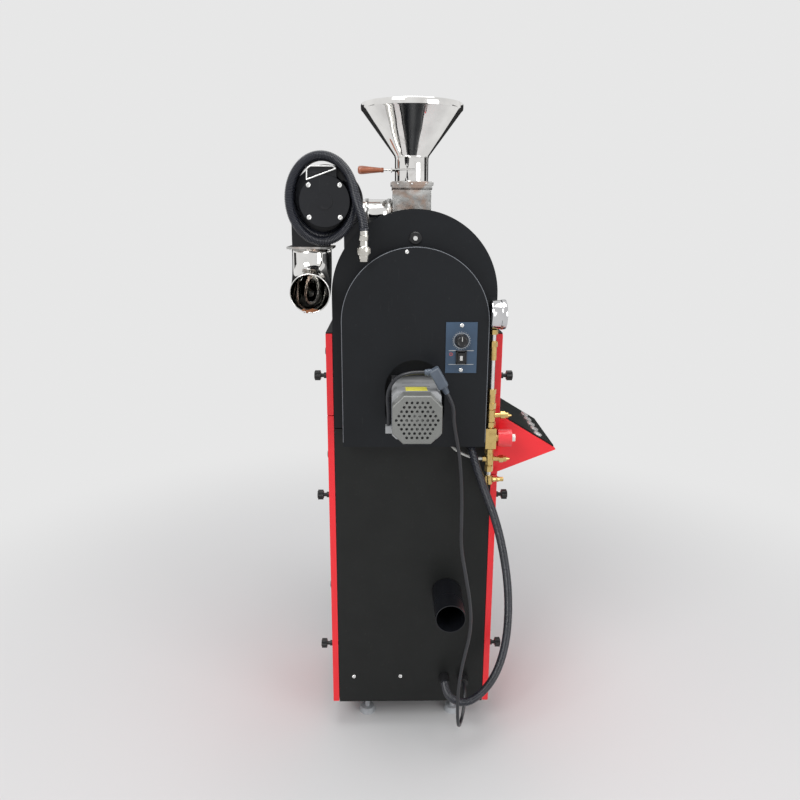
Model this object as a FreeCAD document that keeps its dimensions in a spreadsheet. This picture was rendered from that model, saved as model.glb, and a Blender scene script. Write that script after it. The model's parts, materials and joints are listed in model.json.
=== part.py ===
"""Small gas-fired drum roaster for coffee beans, standing on a tall cabinet.

Machine coordinates, in millimetres: X runs to the right as the machine is seen from behind,
Y runs from the rear panel (0) towards the operator's side, and Z is the height above the floor.
Every sub-part is then shifted by the same datum, so that the origin lies under the middle of the
whole machine.
"""
import FreeCAD, Part
import Sketcher
import math
import os
import re

SIZES = (
    ("body_width", 350.0, "over the outer faces of the side covers"),
    ("body_depth", 300.0, "rear plate outer face to front plate outer face"),
    ("floor_gap", 70.0, "floor to the underside of the cabinet"),
    ("cover_top", 909.0, "height of the cabinet's top deck underside"),
    ("cover_seam", 743.0, "height of the seam between the upper and lower covers"),
    ("cover_depth", 13.0, "depth of the folded side covers"),
    ("cover_sheet", 1.5, "sheet of the covers, the panels and the drive cover"),
    ("edge_gap", 1.0, "gap between a side cover and the plates"),
    ("seam_gap", 2.0, "gap between neighbouring covers and panels"),
    ("axis_height", 986.0, "height of the drum axis and of the plates' arch centre"),
    ("rear_plate_thick", 5.0, "rear bearing plate"),
    ("plate_bottom", 716.0, "lower edge of the rear bearing plate"),
    ("front_plate_thick", 8.0, "front bearing plate"),
    ("front_plate_bottom", 840.0, "lower edge of the front bearing plate"),
    ("post_size", 25.0, "square tube of the frame"),
    ("base_thick", 3.0, "base plate"),
    ("deck_thick", 2.0, "top deck"),
    ("foot_x", 100.0, "feet, to each side of the middle"),
    ("foot_inset", 60.0, "feet, from the rear and front faces"),
    ("foot_radius", 19.0, "foot disc"),
    ("foot_disc", 12.0, "thickness of the foot disc"),
    ("foot_stem", 6.0, "radius of the foot's threaded stem"),
    ("casing_radius", 124.0, "outside of the drum casing"),
    ("casing_wall", 2.0, "wall of the drum casing"),
    ("casing_gap", 28.0, "rear plate to drum casing, where the chain runs"),
    ("head_length", 84.0, "length of the drum head in front of the drum"),
    ("mouth_radius", 92.0, "round opening between the head and the drum"),
    ("burner_slot", 60.0, "half width of the casing's opening over the burner"),
    ("drum_radius", 105.0, "outside of the drum"),
    ("drum_wall", 2.0, "wall of the drum"),
    ("drum_gap", 8.0, "casing end walls to drum ends"),
    ("vane_height", 20.0, "mixing vanes inside the drum"),
    ("shaft_radius", 10.0, "drum shaft"),
    ("shaft_fit", 0.05, "running clearance round the drum shaft"),
    ("bearing_radius", 38.0, "flange of a drum bearing"),
    ("bearing_length", 18.0, "length of a drum bearing"),
    ("chain_pitch", 9.525, "pitch of the drive chain"),
    ("roller_radius", 3.1, "roller of the drive chain"),
    ("chain_plane", 19.0, "middle of the chain, from the rear panel"),
    ("sprocket_thick", 5.0, "teeth of both sprockets"),
    ("drum_teeth", 39.0, "teeth of the drum sprocket"),
    ("motor_teeth", 13.0, "teeth of the motor sprocket"),
    ("motor_height", 781.0, "height of the motor axis"),
    ("motor_size", 90.0, "square frame of the gear motor"),
    ("motor_chamfer", 20.0, "corner chamfer of the motor and its fan cap"),
    ("gearbox_length", 60.0, "gearbox behind the rear plate"),
    ("motor_length", 76.0, "motor body between gearbox and fan cap"),
    ("cap_length", 31.0, "fan cap"),
    ("cap_wall", 1.6, "wall of the fan cap"),
    ("cap_hole", 2.6, "radius of the holes in the fan cap"),
    ("cap_pitch", 9.4, "spacing of the holes in the fan cap"),
    ("output_radius", 6.0, "output shaft of the gearbox"),
    ("drive_half", 141.0, "half width of the drive cover"),
    ("drive_arch", 938.0, "height of the drive cover's arch centre"),
    ("drive_bottom", 690.5, "lower edge of the drive cover"),
    ("drive_reach", 45.0, "how far the drive cover stands out"),
    ("slot_half", 58.0, "half width of the motor opening"),
    ("slot_top", 808.0, "upper arc centre of the motor opening"),
    ("slot_low", 765.0, "lower arc centre of the motor opening"),
    ("control_x", 88.2, "middle of the speed controller"),
    ("control_z", 890.5, "middle height of the speed controller"),
    ("control_width", 60.0, "face of the speed controller"),
    ("control_height", 98.4, "face of the speed controller"),
    ("knob_z", 904.3, "height of the speed knob"),
    ("speed_knob_radius", 11.0, "speed knob"),
    ("switch_z", 872.3, "height of the power switch"),
    ("switch_width", 14.0, "rocker of the power switch"),
    ("switch_height", 19.0, "rocker of the power switch"),
    ("rocker_tilt", 6.0, "tilt of the rocker to each side, in degrees"),
    ("gauge_radius", 28.5, "case of the gas pressure gauge"),
    ("gauge_length", 30.0, "case of the gas pressure gauge"),
    ("gauge_z", 952.0, "height of the gas pressure gauge"),
    ("gas_x", 152.0, "gas train, to the right"),
    ("gas_y", 32.0, "gas train, behind the rear plate"),
    ("gas_pipe", 4.5, "radius of the gas pipe"),
    ("tee_high", 752.0, "height of the upper tee"),
    ("valve_z", 703.0, "height of the gas valve"),
    ("tee_low", 661.0, "height of the lower tee"),
    ("barb_z", 617.0, "height of the hose barb"),
    ("coil_radius", 17.5, "coil of the gas valve"),
    ("hopper_radius", 108.0, "rim of the hopper"),
    ("hopper_top", 1365.0, "height of the hopper's rim"),
    ("cone_bottom", 1257.0, "height where the cone meets the neck"),
    ("neck_radius", 36.6, "neck of the hopper"),
    ("neck_bottom", 1203.0, "height of the flange under the neck"),
    ("hopper_sheet", 1.5, "sheet of the hopper"),
    ("gate_height", 1230.0, "height of the gate in the neck"),
    ("gate_thick", 2.0, "plate of the gate"),
    ("grip_start", 61.0, "inner end of the gate's grip, at rest"),
    ("grip_length", 57.0, "grip of the gate"),
    ("grip_radius", 9.0, "grip of the gate"),
    ("chute_half", 41.5, "half width of the square chute"),
    ("flange_half", 46.0, "half width of the chute's flange"),
    ("chute_top", 1197.0, "height of the chute's flange top"),
    ("chute_wall", 1.5, "sheet of the chute"),
    ("duct_radius", 32.0, "exhaust duct"),
    ("duct_wall", 1.2, "sheet of the exhaust duct"),
    ("duct_z", 1136.0, "height of the exhaust duct at the chute"),
    ("duct_bend", 62.0, "centre line radius of the duct's bend"),
    ("blower_x", 166.0, "blower axis, to the left"),
    ("blower_z", 1159.0, "height of the blower axis"),
    ("blower_radius", 66.0, "scroll of the blower"),
    ("blower_rear", -10.0, "rear face of the blower's scroll"),
    ("blower_width", 60.0, "width of the blower's scroll"),
    ("blower_wall", 2.0, "wall of the blower"),
    ("outlet_x", 199.0, "blower outlet, to the left"),
    ("outlet_half", 34.0, "half width of the blower outlet"),
    ("outlet_z", 1077.0, "height of the outlet's flange face"),
    ("fan_motor_radius", 45.0, "blower motor"),
    ("fan_motor_length", 52.0, "blower motor"),
    ("fan_shaft", 5.0, "shaft of the blower motor"),
    ("impeller_radius", 52.0, "impeller of the blower"),
    ("elbow_radius", 38.0, "outlet elbow, a tube of three inches"),
    ("elbow_wall", 1.5, "sheet of the outlet elbow"),
    ("elbow_bend", 60.0, "centre line radius of the outlet elbow"),
    ("elbow_turn", 80.0, "turn of the outlet elbow, in degrees"),
    ("elbow_leg", 20.0, "straight leg above the bend"),
    ("elbow_flange", 4.0, "flange of the outlet elbow"),
    ("box_top", 741.0, "upper edge of the control box"),
    ("box_bottom", 616.0, "lower edge of the control box"),
    ("box_tip_x", 298.0, "outer edge of the control box"),
    ("box_tip_z", 666.0, "height of the control box's outer edge"),
    ("tip_round", 1.5, "rounding of the control box's edges"),
    ("box_start", 12.0, "rear wall of the control box"),
    ("box_length", 214.0, "control box, front to rear"),
    ("box_sheet", 2.0, "sheet of the control box"),
    ("face_thick", 3.0, "panel on the control box"),
    ("face_margin", 7.0, "control box edge to panel edge"),
    ("button_start", 33.0, "first button, from the rear plate"),
    ("button_pitch", 37.2, "spacing of the buttons"),
    ("button_share", 0.69, "place of the buttons down the slope"),
    ("button_radius", 9.0, "push button"),
    ("button_height", 4.0, "push button above its panel"),
    ("button_travel", 2.0, "travel of a push button"),
    ("knob_radius", 10.5, "head of a cover knob"),
    ("knob_stem", 4.0, "stem of a cover knob"),
    ("knob_reach", 25.0, "cover face to the end of a cover knob"),
    ("knob_high", 822.0, "height of the upper cover knobs"),
    ("knob_mid", 564.0, "height of the middle cover knobs"),
    ("knob_low", 208.0, "height of the lower cover knobs"),
    ("fan_x", 75.0, "cooling fan duct, to the right"),
    ("fan_z", 344.0, "height of the cooling fan duct"),
    ("fan_duct", 31.0, "outside radius of the cooling fan duct"),
    ("hose_seat", 45.0, "end of the cooling duct that a hose slips on"),
    ("seat_step", 0.5, "how far the hose seat is drawn in"),
    ("stop_bead", 5.0, "bead that stops the hose"),
    ("fan_reach", 108.0, "how far the cooling fan duct stands out"),
    ("fan_scroll", 85.0, "scroll of the cooling fan"),
    ("fan_width", 66.0, "scroll of the cooling fan"),
    ("gland_z", 130.0, "height of the cable glands"),
    ("gland_left", 74.0, "conduit gland"),
    ("gland_right", 116.0, "cable gland"),
    ("gland_radius", 12.0, "nut of a cable gland"),
    ("gland_length", 22.0, "how far a cable gland stands out"),
    ("tray_radius", 135.0, "cooling tray"),
    ("tray_gap", 14.0, "front plate to cooling tray"),
    ("tray_top", 762.0, "rim of the cooling tray"),
    ("tray_bottom", 640.0, "floor of the cooling tray"),
    ("tray_wall", 1.5, "sheet of the cooling tray"),
    ("screen_z", 692.0, "height of the tray's screen"),
    ("screen_thick", 1.5, "screen"),
    ("stir_radius", 6.0, "shaft of the stirring arm"),
    ("gate_width", 70.0, "outlet of the cooling tray"),
    ("gate_rise", 42.0, "height of the tray's outlet"),
    ("door_width", 84.0, "bean door"),
    ("door_height", 62.0, "bean door"),
    ("door_z", 893.0, "middle height of the bean door"),
    ("door_thick", 5.0, "bean door"),
    ("trier_x", 58.0, "sampling scoop, to the left"),
    ("trier_z", 962.0, "height of the sampling scoop"),
    ("trier_radius", 8.0, "sampling scoop"),
    ("sight_x", 62.0, "sight glass, to the right"),
    ("sight_z", 1036.0, "height of the sight glass"),
    ("sight_radius", 24.0, "sight glass"),
    ("part_gap", 0.3, "clearance between curved pieces that move"),
    ("conduit_radius", 8.5, "power conduit"),
    ("lead_radius", 3.5, "motor cable"),
    ("tube_radius", 3.0, "gas tube of the burner"),
    ("tube_x", 75.0, "gas tube where it enters the rear panel"),
    ("tube_z", 682.0, "gas tube where it enters the rear panel"),
    ("branch_y", 49.0, "burner feed, from the rear panel"),
    ("hose_radius", 8.5, "blower conduit"),
)

DERIVED = {
    "side": "body_width / 2",
    "frame_half": "body_width / 2 - cover_depth - edge_gap",
    "front_inner": "body_depth - front_plate_thick",
    "casing_start": "rear_plate_thick + casing_gap",
    "head_start": "front_inner - head_length",
    "drum_start": "casing_start + casing_wall + drum_gap",
    "drum_end": "head_start - casing_wall - drum_gap / 2",
    "hopper_y": "front_inner - chute_half - part_gap",
    "deck_top": "cover_top + deck_thick",
    "frame_bottom": "floor_gap + base_thick",
    "frame_top": "cover_top",
    "motor_end": "gearbox_length + motor_length + cap_length",
    "drum_pitch_radius": "chain_pitch / 2 / sin(180 / drum_teeth * 1 deg)",
    "motor_pitch_radius": "chain_pitch / 2 / sin(180 / motor_teeth * 1 deg)",
    "box_run": "box_tip_x - side",
    "box_drop": "box_top - box_tip_z",
    "slope": "sqrt(box_run * box_run + box_drop * box_drop)",
    "tray_y": "body_depth + tray_gap + tray_radius",
    "elbow_left": "outlet_x + elbow_radius + 5",
    "tray_front": "tray_y + tray_radius + 16",
    "upper_slant": "atan(box_drop / box_run)",
    "lower_slant": "atan((box_tip_z - box_bottom) / box_run)",
    "tip_back": "tip_round / sin((upper_slant + lower_slant) / 2) * cos((upper_slant - lower_slant) / 2)",
    "box_reach": "box_tip_x - tip_back + tip_round",
    "datum_x": "(elbow_left - box_reach) / 2",
    "datum_y": "(motor_end - tray_front) / 2",
    "outlet_y": "blower_rear + blower_width / 2",
    "control_face_y": "drive_reach + 2",
}

doc = FreeCAD.newDocument("coffee_roaster")
sheet = doc.addObject("Spreadsheet::Sheet", "Sizes")
for row, (alias, number, meaning) in enumerate(SIZES, start=1):
    sheet.set(f"A{row}", alias)
    sheet.set(f"B{row}", str(number))
    sheet.setAlias(f"B{row}", alias)
    sheet.set(f"C{row}", meaning)
doc.recompute()
ALIASES = {alias for alias, number, meaning in SIZES}
FINISHED = []


def expand(text):
    """Expression text with every size read from the sheet and every derived name written out."""
    def swap(match):
        word = match.group(0)
        if word in DERIVED:
            return "(" + expand(DERIVED[word]) + ")"
        if word in ALIASES:
            return "Sizes." + word
        return word
    return re.sub(r"[a-z][a-z_0-9]*", swap, str(text))


def value(text):
    """The number that an expression stands for."""
    return float(sheet.evalExpression(expand(text)))


def bind(thing, **sizes):
    """Bind properties of an object to expressions; two underscores stand for a dot."""
    for name, text in sizes.items():
        thing.setExpression(name.replace("__", "."), expand(text))
    return thing


TURNS = {
    "X": ((0, 1, 0), 90),
    "Y": ((1, 0, 0), -90),
    "Z": ((0, 0, 1), 0),
}


def place(thing, x="0", y="0", z="0"):
    return bind(thing, Placement__Base__x=x, Placement__Base__y=y, Placement__Base__z=z)


def box(xs, ys, zs, name="box"):
    """Block between two expressions along each axis."""
    thing = doc.addObject("Part::Box", name)
    bind(thing, Length=f"({xs[1]}) - ({xs[0]})", Width=f"({ys[1]}) - ({ys[0]})")
    bind(thing, Height=f"({zs[1]}) - ({zs[0]})")
    return place(thing, xs[0], ys[0], zs[0])


def turned(thing, axis, middle, start):
    """Lay a thing made along Z along another axis, through the middle given by two coordinates."""
    direction, angle = TURNS[axis]
    thing.Placement = FreeCAD.Placement(
        FreeCAD.Vector(), FreeCAD.Rotation(FreeCAD.Vector(*direction), angle))
    first, second = middle
    spots = {"X": (start, first, second), "Y": (first, start, second), "Z": (first, second, start)}
    return place(thing, *spots[axis])


def rod(axis, middle, radius, span, name="rod"):
    """Cylinder along an axis, between the two ends of its span."""
    thing = doc.addObject("Part::Cylinder", name)
    bind(thing, Radius=radius, Height=f"({span[1]}) - ({span[0]})")
    return turned(thing, axis, middle, span[0])


def cone(axis, middle, radii, span, name="cone"):
    thing = doc.addObject("Part::Cone", name)
    bind(thing, Radius1=radii[0], Radius2=radii[1], Height=f"({span[1]}) - ({span[0]})")
    return turned(thing, axis, middle, span[0])


def hexagon(axis, middle, radius, span, sides=6, name="hexagon"):
    thing = doc.addObject("Part::Prism", name)
    thing.Polygon = sides
    bind(thing, Circumradius=radius, Height=f"({span[1]}) - ({span[0]})")
    return turned(thing, axis, middle, span[0])


def fuse(*things, name="fuse"):
    if len(things) == 1:
        return things[0]
    result = doc.addObject("Part::MultiFuse", name)
    result.Shapes = list(things)
    result.Refine = True
    return result


def cut(base, *tools, name="cut"):
    result = doc.addObject("Part::Cut", name)
    result.Base = base
    result.Tool = fuse(*tools)
    result.Refine = True
    return result


def common(first, second, name="common"):
    result = doc.addObject("Part::Common", name)
    result.Base = first
    result.Tool = second
    result.Refine = True
    return result


def group(things, name="group"):
    """Separate solids kept together as one sub-part."""
    result = doc.addObject("Part::Compound", name)
    result.Links = list(things)
    return result


def pipe(axis, middle, radius, wall, span, name="pipe"):
    outer = rod(axis, middle, radius, span)
    inner = rod(axis, middle, f"({radius}) - ({wall})", span)
    return cut(outer, inner, name=name)


def new_body(name):
    return doc.addObject("PartDesign::Body", name)


def origin_feature(body, role):
    return next(item for item in body.Origin.OriginFeatures if item.Role == role)


def new_sketch(body, plane="XZ_Plane", offset=None):
    sketch = body.newObject("Sketcher::SketchObject", "sketch")
    sketch.AttachmentSupport = [(origin_feature(body, plane), "")]
    sketch.MapMode = "FlatFace"
    if offset:
        bind(sketch, AttachmentOffset__Base__z=offset)
    return sketch


def fix_point(sketch, index, point, x, y):
    """Hold a point of a sketch at two expressions from the sketch's origin."""
    for kind, text in (("DistanceX", x), ("DistanceY", y)):
        number = sketch.addConstraint(Sketcher.Constraint(kind, -1, 1, index, point, value(text)))
        sketch.setExpression(f"Constraints[{number}]", expand(text))


def outline(sketch, corners):
    """Closed outline; a corner with four entries starts an anticlockwise arc about its last two."""
    spots = [FreeCAD.Vector(value(corner[0]), value(corner[1]), 0) for corner in corners]
    ends = []
    for index, corner in enumerate(corners):
        start = spots[index]
        stop = spots[(index + 1) % len(corners)]
        if len(corner) == 2:
            number = sketch.addGeometry(Part.LineSegment(start, stop), False)
        else:
            centre = FreeCAD.Vector(value(corner[2]), value(corner[3]), 0)
            first = math.atan2(start.y - centre.y, start.x - centre.x)
            last = math.atan2(stop.y - centre.y, stop.x - centre.x)
            if last <= first:
                last += 2 * math.pi
            circle = Part.Circle(centre, FreeCAD.Vector(0, 0, 1), start.distanceToPoint(centre))
            number = sketch.addGeometry(Part.ArcOfCircle(circle, first, last), False)
        ends.append(number)
    for index, corner in enumerate(corners):
        following = ends[(index + 1) % len(ends)]
        sketch.addConstraint(Sketcher.Constraint("Coincident", ends[index], 2, following, 1))
        fix_point(sketch, ends[index], 1, corner[0], corner[1])
        if len(corner) == 4:
            chord = spots[(index + 1) % len(corners)] - spots[index]
            level = abs(chord.x) >= abs(chord.y)
            kind = "DistanceY" if level else "DistanceX"
            text = corner[3] if level else corner[2]
            held = Sketcher.Constraint(kind, -1, 1, ends[index], 3, value(text))
            number = sketch.addConstraint(held)
            sketch.setExpression(f"Constraints[{number}]", expand(text))
    return sketch


def circle(sketch, x, y, radius):
    middle = FreeCAD.Vector(value(x), value(y), 0)
    round_edge = Part.Circle(middle, FreeCAD.Vector(0, 0, 1), value(radius))
    number = sketch.addGeometry(round_edge, False)
    fix_point(sketch, number, 3, x, y)
    held = sketch.addConstraint(Sketcher.Constraint("Radius", number, value(radius)))
    sketch.setExpression(f"Constraints[{held}]", expand(radius))
    return sketch


def pad(body, sketch, length, backwards=False):
    feature = body.newObject("PartDesign::Pad", "pad")
    feature.Profile = sketch
    feature.Reversed = backwards
    return bind(feature, Length=length)


def pocket(body, sketch, length, backwards=False):
    feature = body.newObject("PartDesign::Pocket", "pocket")
    feature.Profile = sketch
    feature.Reversed = backwards
    return bind(feature, Length=length)


def revolve(body, sketch, axis="V_Axis"):
    feature = body.newObject("PartDesign::Revolution", "revolution")
    feature.Profile = sketch
    feature.ReferenceAxis = (sketch, [axis])
    feature.Angle = 360
    return feature


def ring_of(body, feature, axis, count):
    """Repeat a feature evenly round one of the body's own axes."""
    doc.recompute()
    pattern = body.newObject("PartDesign::PolarPattern", "ring")
    pattern.Originals = [feature]
    pattern.Axis = (origin_feature(body, axis), [""])
    pattern.Angle = 360
    pattern.Occurrences = count
    body.Tip = pattern
    return pattern


def round_edges(body, radius, wanted):
    """Fillet the edges of a body's last feature that a test picks out."""
    doc.recompute()
    last = body.Tip
    names = [f"Edge{number}" for number, edge in enumerate(last.Shape.Edges, start=1) if wanted(edge)]
    feature = body.newObject("PartDesign::Fillet", "rounding")
    feature.Base = (last, names)
    feature.Radius = radius
    body.Tip = feature
    return feature


def along(direction):
    """A test for straight edges that run along one axis."""
    def wanted(edge):
        if not isinstance(edge.Curve, Part.Line):
            return False
        return abs(edge.Curve.Direction.dot(FreeCAD.Vector(*direction))) > 0.999
    return wanted


def finish(thing, label, x="0", y="0", z="0"):
    """Name a sub-part and shift it by the machine's datum."""
    thing.Label = label
    place(thing, f"datum_x + ({x})", f"datum_y + ({y})", z)
    FINISHED.append(thing)
    return thing


def spot(x, y, z):
    """A point of the machine from three expressions or numbers."""
    return FreeCAD.Vector(value(x), value(y), value(z))


def shaped(label, shape):
    """A sub-part whose shape is computed here from the sheet's values."""
    thing = doc.addObject("Part::Feature", label)
    thing.Shape = shape if shape.Placement.isIdentity() else Part.makeCompound([shape])
    return finish(thing, label)


def base_frame():
    """Base plate, four posts and the rails that carry the casing, the burner and the motor plate."""
    half = "frame_half"
    post = "post_size"
    solids = [box((f"-{half}", half), ("cover_sheet + edge_gap", "front_inner"),
                  ("floor_gap", "frame_bottom"))]
    lows = ("rear_plate_thick", f"front_inner - {post}")
    for low in lows:
        for side in (-1, 1):
            xs = (f"-{half}", f"-{half} + {post}") if side < 0 else (f"{half} - {post}", half)
            solids.append(post_with_holes(xs, low, side))
    for side in (-1, 1):
        xs = (f"-{half}", f"-{half} + {post}") if side < 0 else (f"{half} - {post}", half)
        ys = (f"rear_plate_thick + {post}", f"front_inner - {post}")
        for top in ("frame_top", "plate_bottom + post_size", "frame_bottom + post_size"):
            solids.append(box(xs, ys, (f"{top} - {post}", top)))
    for low in lows:
        ys = (low, f"{low} + {post}")
        xs = (f"-{half} + {post}", f"{half} - {post}")
        solids.append(box(xs, ys, ("plate_bottom", "plate_bottom + post_size")))
    finish(group(solids), "base_frame")


def post_with_holes(xs, low, side):
    post = box(xs, (low, f"{low} + post_size"), ("frame_bottom", "frame_top"))
    rear = value(low) < value("front_inner") / 2
    y = "rear_plate_thick + post_size / 2" if rear else "front_inner - post_size / 2"
    ends = ("frame_half - 12", "frame_half") if side > 0 else ("-frame_half", "12 - frame_half")
    holes = [rod("X", (y, z), "knob_stem + part_gap", ends)
             for z in ("knob_high", "knob_mid", "knob_low")]
    if rear and side > 0:
        holes.append(rod("Y", ("gas_x", "tee_high"), "gas_pipe + part_gap",
                         ("rear_plate_thick", "rear_plate_thick + post_size")))
    return cut(post, *holes)


def feet():
    solids = []
    for x in ("-foot_x", "foot_x"):
        for y in ("foot_inset", "body_depth - foot_inset"):
            disc = cone("Z", (x, y), ("foot_radius", "foot_radius - 4"), ("0", "foot_disc"))
            stem = rod("Z", (x, y), "foot_stem", ("foot_disc - 1", "floor_gap"))
            nut = hexagon("Z", (x, y), "foot_stem * 1.8", ("floor_gap - 8", "floor_gap"))
            solids.append(fuse(disc, stem, nut))
    finish(group(solids), "feet")


def rear_plate():
    body = new_body("rear_plate_body")
    arch = outline(new_sketch(body), (
        ("-frame_half", "plate_bottom"),
        ("frame_half", "plate_bottom"),
        ("frame_half", "axis_height", "0", "axis_height"),
        ("-frame_half", "axis_height"),
    ))
    pad(body, arch, "rear_plate_thick", backwards=True)
    holes = new_sketch(body)
    circle(holes, "0", "axis_height", "shaft_radius + 4")
    circle(holes, "0", "motor_height", "output_radius + 6")
    circle(holes, "gas_x", "tee_high", "gas_pipe + part_gap")
    pocket(body, holes, "rear_plate_thick")
    finish(body, "rear_plate")


def rear_panel():
    """Lower rear panel, with a folded lower edge and openings for the duct and the glands."""
    xs = ("-frame_half", "frame_half")
    sheet_metal = box(xs, ("0", "cover_sheet"), ("floor_gap - cover_sheet", "plate_bottom - seam_gap"))
    fold = box(xs, ("0", "post_size"), ("floor_gap - cover_sheet", "floor_gap"))
    tools = [
        rod("Y", ("fan_x", "fan_z"), "fan_duct + edge_gap", ("-1", "cover_sheet + 1")),
        rod("Y", ("gland_left", "gland_z"), "gland_radius * 0.6 + part_gap", ("-1", "cover_sheet + 1")),
        rod("Y", ("gland_right", "gland_z"), "gland_radius * 0.6 + part_gap", ("-1", "cover_sheet + 1")),
        rod("Y", ("tube_x", "tube_z"), "tube_radius + 2", ("-1", "cover_sheet + 1")),
    ]
    finish(cut(fuse(sheet_metal, fold), *tools), "rear_panel")


def front_plate():
    """Arched front bearing plate, with the bean outlet, its spout and the sight glass ring."""
    body = new_body("front_plate_body")
    arch = outline(new_sketch(body, offset="-body_depth"), (
        ("-frame_half", "front_plate_bottom"),
        ("frame_half", "front_plate_bottom"),
        ("frame_half", "axis_height", "0", "axis_height"),
        ("-frame_half", "axis_height"),
    ))
    pad(body, arch, "front_plate_thick")
    holes = new_sketch(body, offset="-body_depth")
    circle(holes, "0", "axis_height", "shaft_radius + 4")
    circle(holes, "-trier_x", "trier_z", "trier_radius + part_gap")
    circle(holes, "sight_x", "sight_z", "sight_radius - 4")
    outline(holes, (
        ("-door_width / 2 + 8", "door_z - door_height / 2 + 8"),
        ("door_width / 2 - 8", "door_z - door_height / 2 + 8"),
        ("door_width / 2 - 8", "door_z + door_height / 2 - 8"),
        ("-door_width / 2 + 8", "door_z + door_height / 2 - 8"),
    ))
    pocket(body, holes, "front_plate_thick", backwards=True)
    ring = cut(rod("Y", ("sight_x", "sight_z"), "sight_radius + 5", ("body_depth", "body_depth + 6")),
               rod("Y", ("sight_x", "sight_z"), "sight_radius + part_gap", ("body_depth", "body_depth + 6")))
    sleeve = pipe("Y", ("-trier_x", "trier_z"), "trier_radius + 5", "5 - part_gap",
                  ("body_depth", "body_depth + 14"))
    low = "door_z - door_height / 2 - 1"
    spout = cut(sloped_channel("door_width", "0", low),
                sloped_channel("door_width - 2 * tray_wall", "tray_wall", low))
    finish(fuse(body, ring, sleeve, spout), "front_plate")


def sloped_channel(width, lift, top):
    """Sloping block in front of the front plate, drawn from the side and as wide as asked."""
    body = new_body("channel_body")
    side_view = new_sketch(body, "YZ_Plane")
    outline(side_view, (
        ("body_depth", f"{top} - 16 + {lift}"),
        ("body_depth + 48", f"{top} - 36 + {lift}"),
        ("body_depth + 48", f"{top} - 20 + {lift}"),
        ("body_depth", f"{top} + {lift}"),
    ))
    pad(body, side_view, width)
    return place(body, f"-({width}) / 2")


def front_panel():
    xs = ("-frame_half", "frame_half")
    panel = box(xs, ("front_inner", "front_inner + cover_sheet"),
                ("floor_gap", "front_plate_bottom - seam_gap"))
    window = box(("-50 + tray_wall", "50 - tray_wall"), ("front_inner - 1", "body_depth"),
                 ("tray_bottom - 60", "tray_bottom - 4"))
    finish(cut(panel, window), "front_panel")


def cover(label, side, low, high, knob_heights):
    """Folded side cover: a shallow tray, open towards the frame."""
    body = new_body(label + "_body")
    plane = new_sketch(body, "YZ_Plane")
    outline(plane, (("0", low), ("body_depth", low), ("body_depth", high), ("0", high)))
    pad(body, plane, "cover_depth")
    round_edges(body, 1.2, lambda edge: edge.BoundBox.XMin > value("cover_depth") - 0.01)
    hollow = new_sketch(body, "YZ_Plane")
    sheet_edge = "cover_sheet"
    outline(hollow, (
        (sheet_edge, f"{low} + {sheet_edge}"),
        (f"body_depth - {sheet_edge}", f"{low} + {sheet_edge}"),
        (f"body_depth - {sheet_edge}", f"{high} - {sheet_edge}"),
        (sheet_edge, f"{high} - {sheet_edge}"),
    ))
    pocket(body, hollow, "cover_depth - cover_sheet", backwards=True)
    holes = new_sketch(body, "YZ_Plane")
    for y in ("rear_plate_thick + post_size / 2", "front_inner - post_size / 2"):
        from_edge = f"body_depth - ({y})" if side < 0 else y
        for z in knob_heights:
            circle(holes, from_edge, z, "knob_stem + part_gap")
    pocket(body, holes, "cover_depth + 1", backwards=True)
    if side < 0:
        body.Placement = FreeCAD.Placement(
            FreeCAD.Vector(), FreeCAD.Rotation(FreeCAD.Vector(0, 0, 1), 180))
        return finish(body, label, x="cover_depth - side", y="body_depth")
    return finish(body, label, x="side - cover_depth")


def covers():
    seam = "cover_seam"
    cover("left_upper_cover", -1, seam, "cover_top", ("knob_high",))
    cover("left_lower_cover", -1, "floor_gap", f"{seam} - seam_gap", ("knob_mid", "knob_low"))
    cover("right_upper_cover", 1, seam, "cover_top", ("knob_high",))
    cover("right_lower_cover", 1, "floor_gap", "box_bottom - seam_gap", ("knob_mid", "knob_low"))


def cover_knobs():
    """Twelve lobed hand screws that hold the side covers to the posts."""
    solids = []
    for side in (-1, 1):
        for y in ("rear_plate_thick + post_size / 2", "front_inner - post_size / 2"):
            for z in ("knob_high", "knob_mid", "knob_low"):
                solids.append(hand_screw(side, y, z))
    finish(group(solids), "cover_knobs")


def hand_screw(side, y, z):
    def span(low, high):
        if side > 0:
            return (f"side + {low}", f"side + {high}")
        return (f"-side - ({high})", f"-side - ({low})")
    stem = rod("X", (y, z), "knob_stem", span("-cover_depth - 10", "knob_reach - 2"))
    collar = rod("X", (y, z), "knob_stem + 2", span("0", "6"))
    head = rod("X", (y, z), "knob_radius - 3", span("knob_reach - 13", "knob_reach"))
    lobes = []
    for number in range(6):
        turn = f"{60 * number} * 1 deg"
        spot_y = f"({y}) + (knob_radius - 3.2) * cos({turn})"
        spot_z = f"({z}) + (knob_radius - 3.2) * sin({turn})"
        lobes.append(rod("X", (spot_y, spot_z), "3.2", span("knob_reach - 12", "knob_reach - 1")))
    return fuse(stem, collar, head, *lobes)


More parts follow.
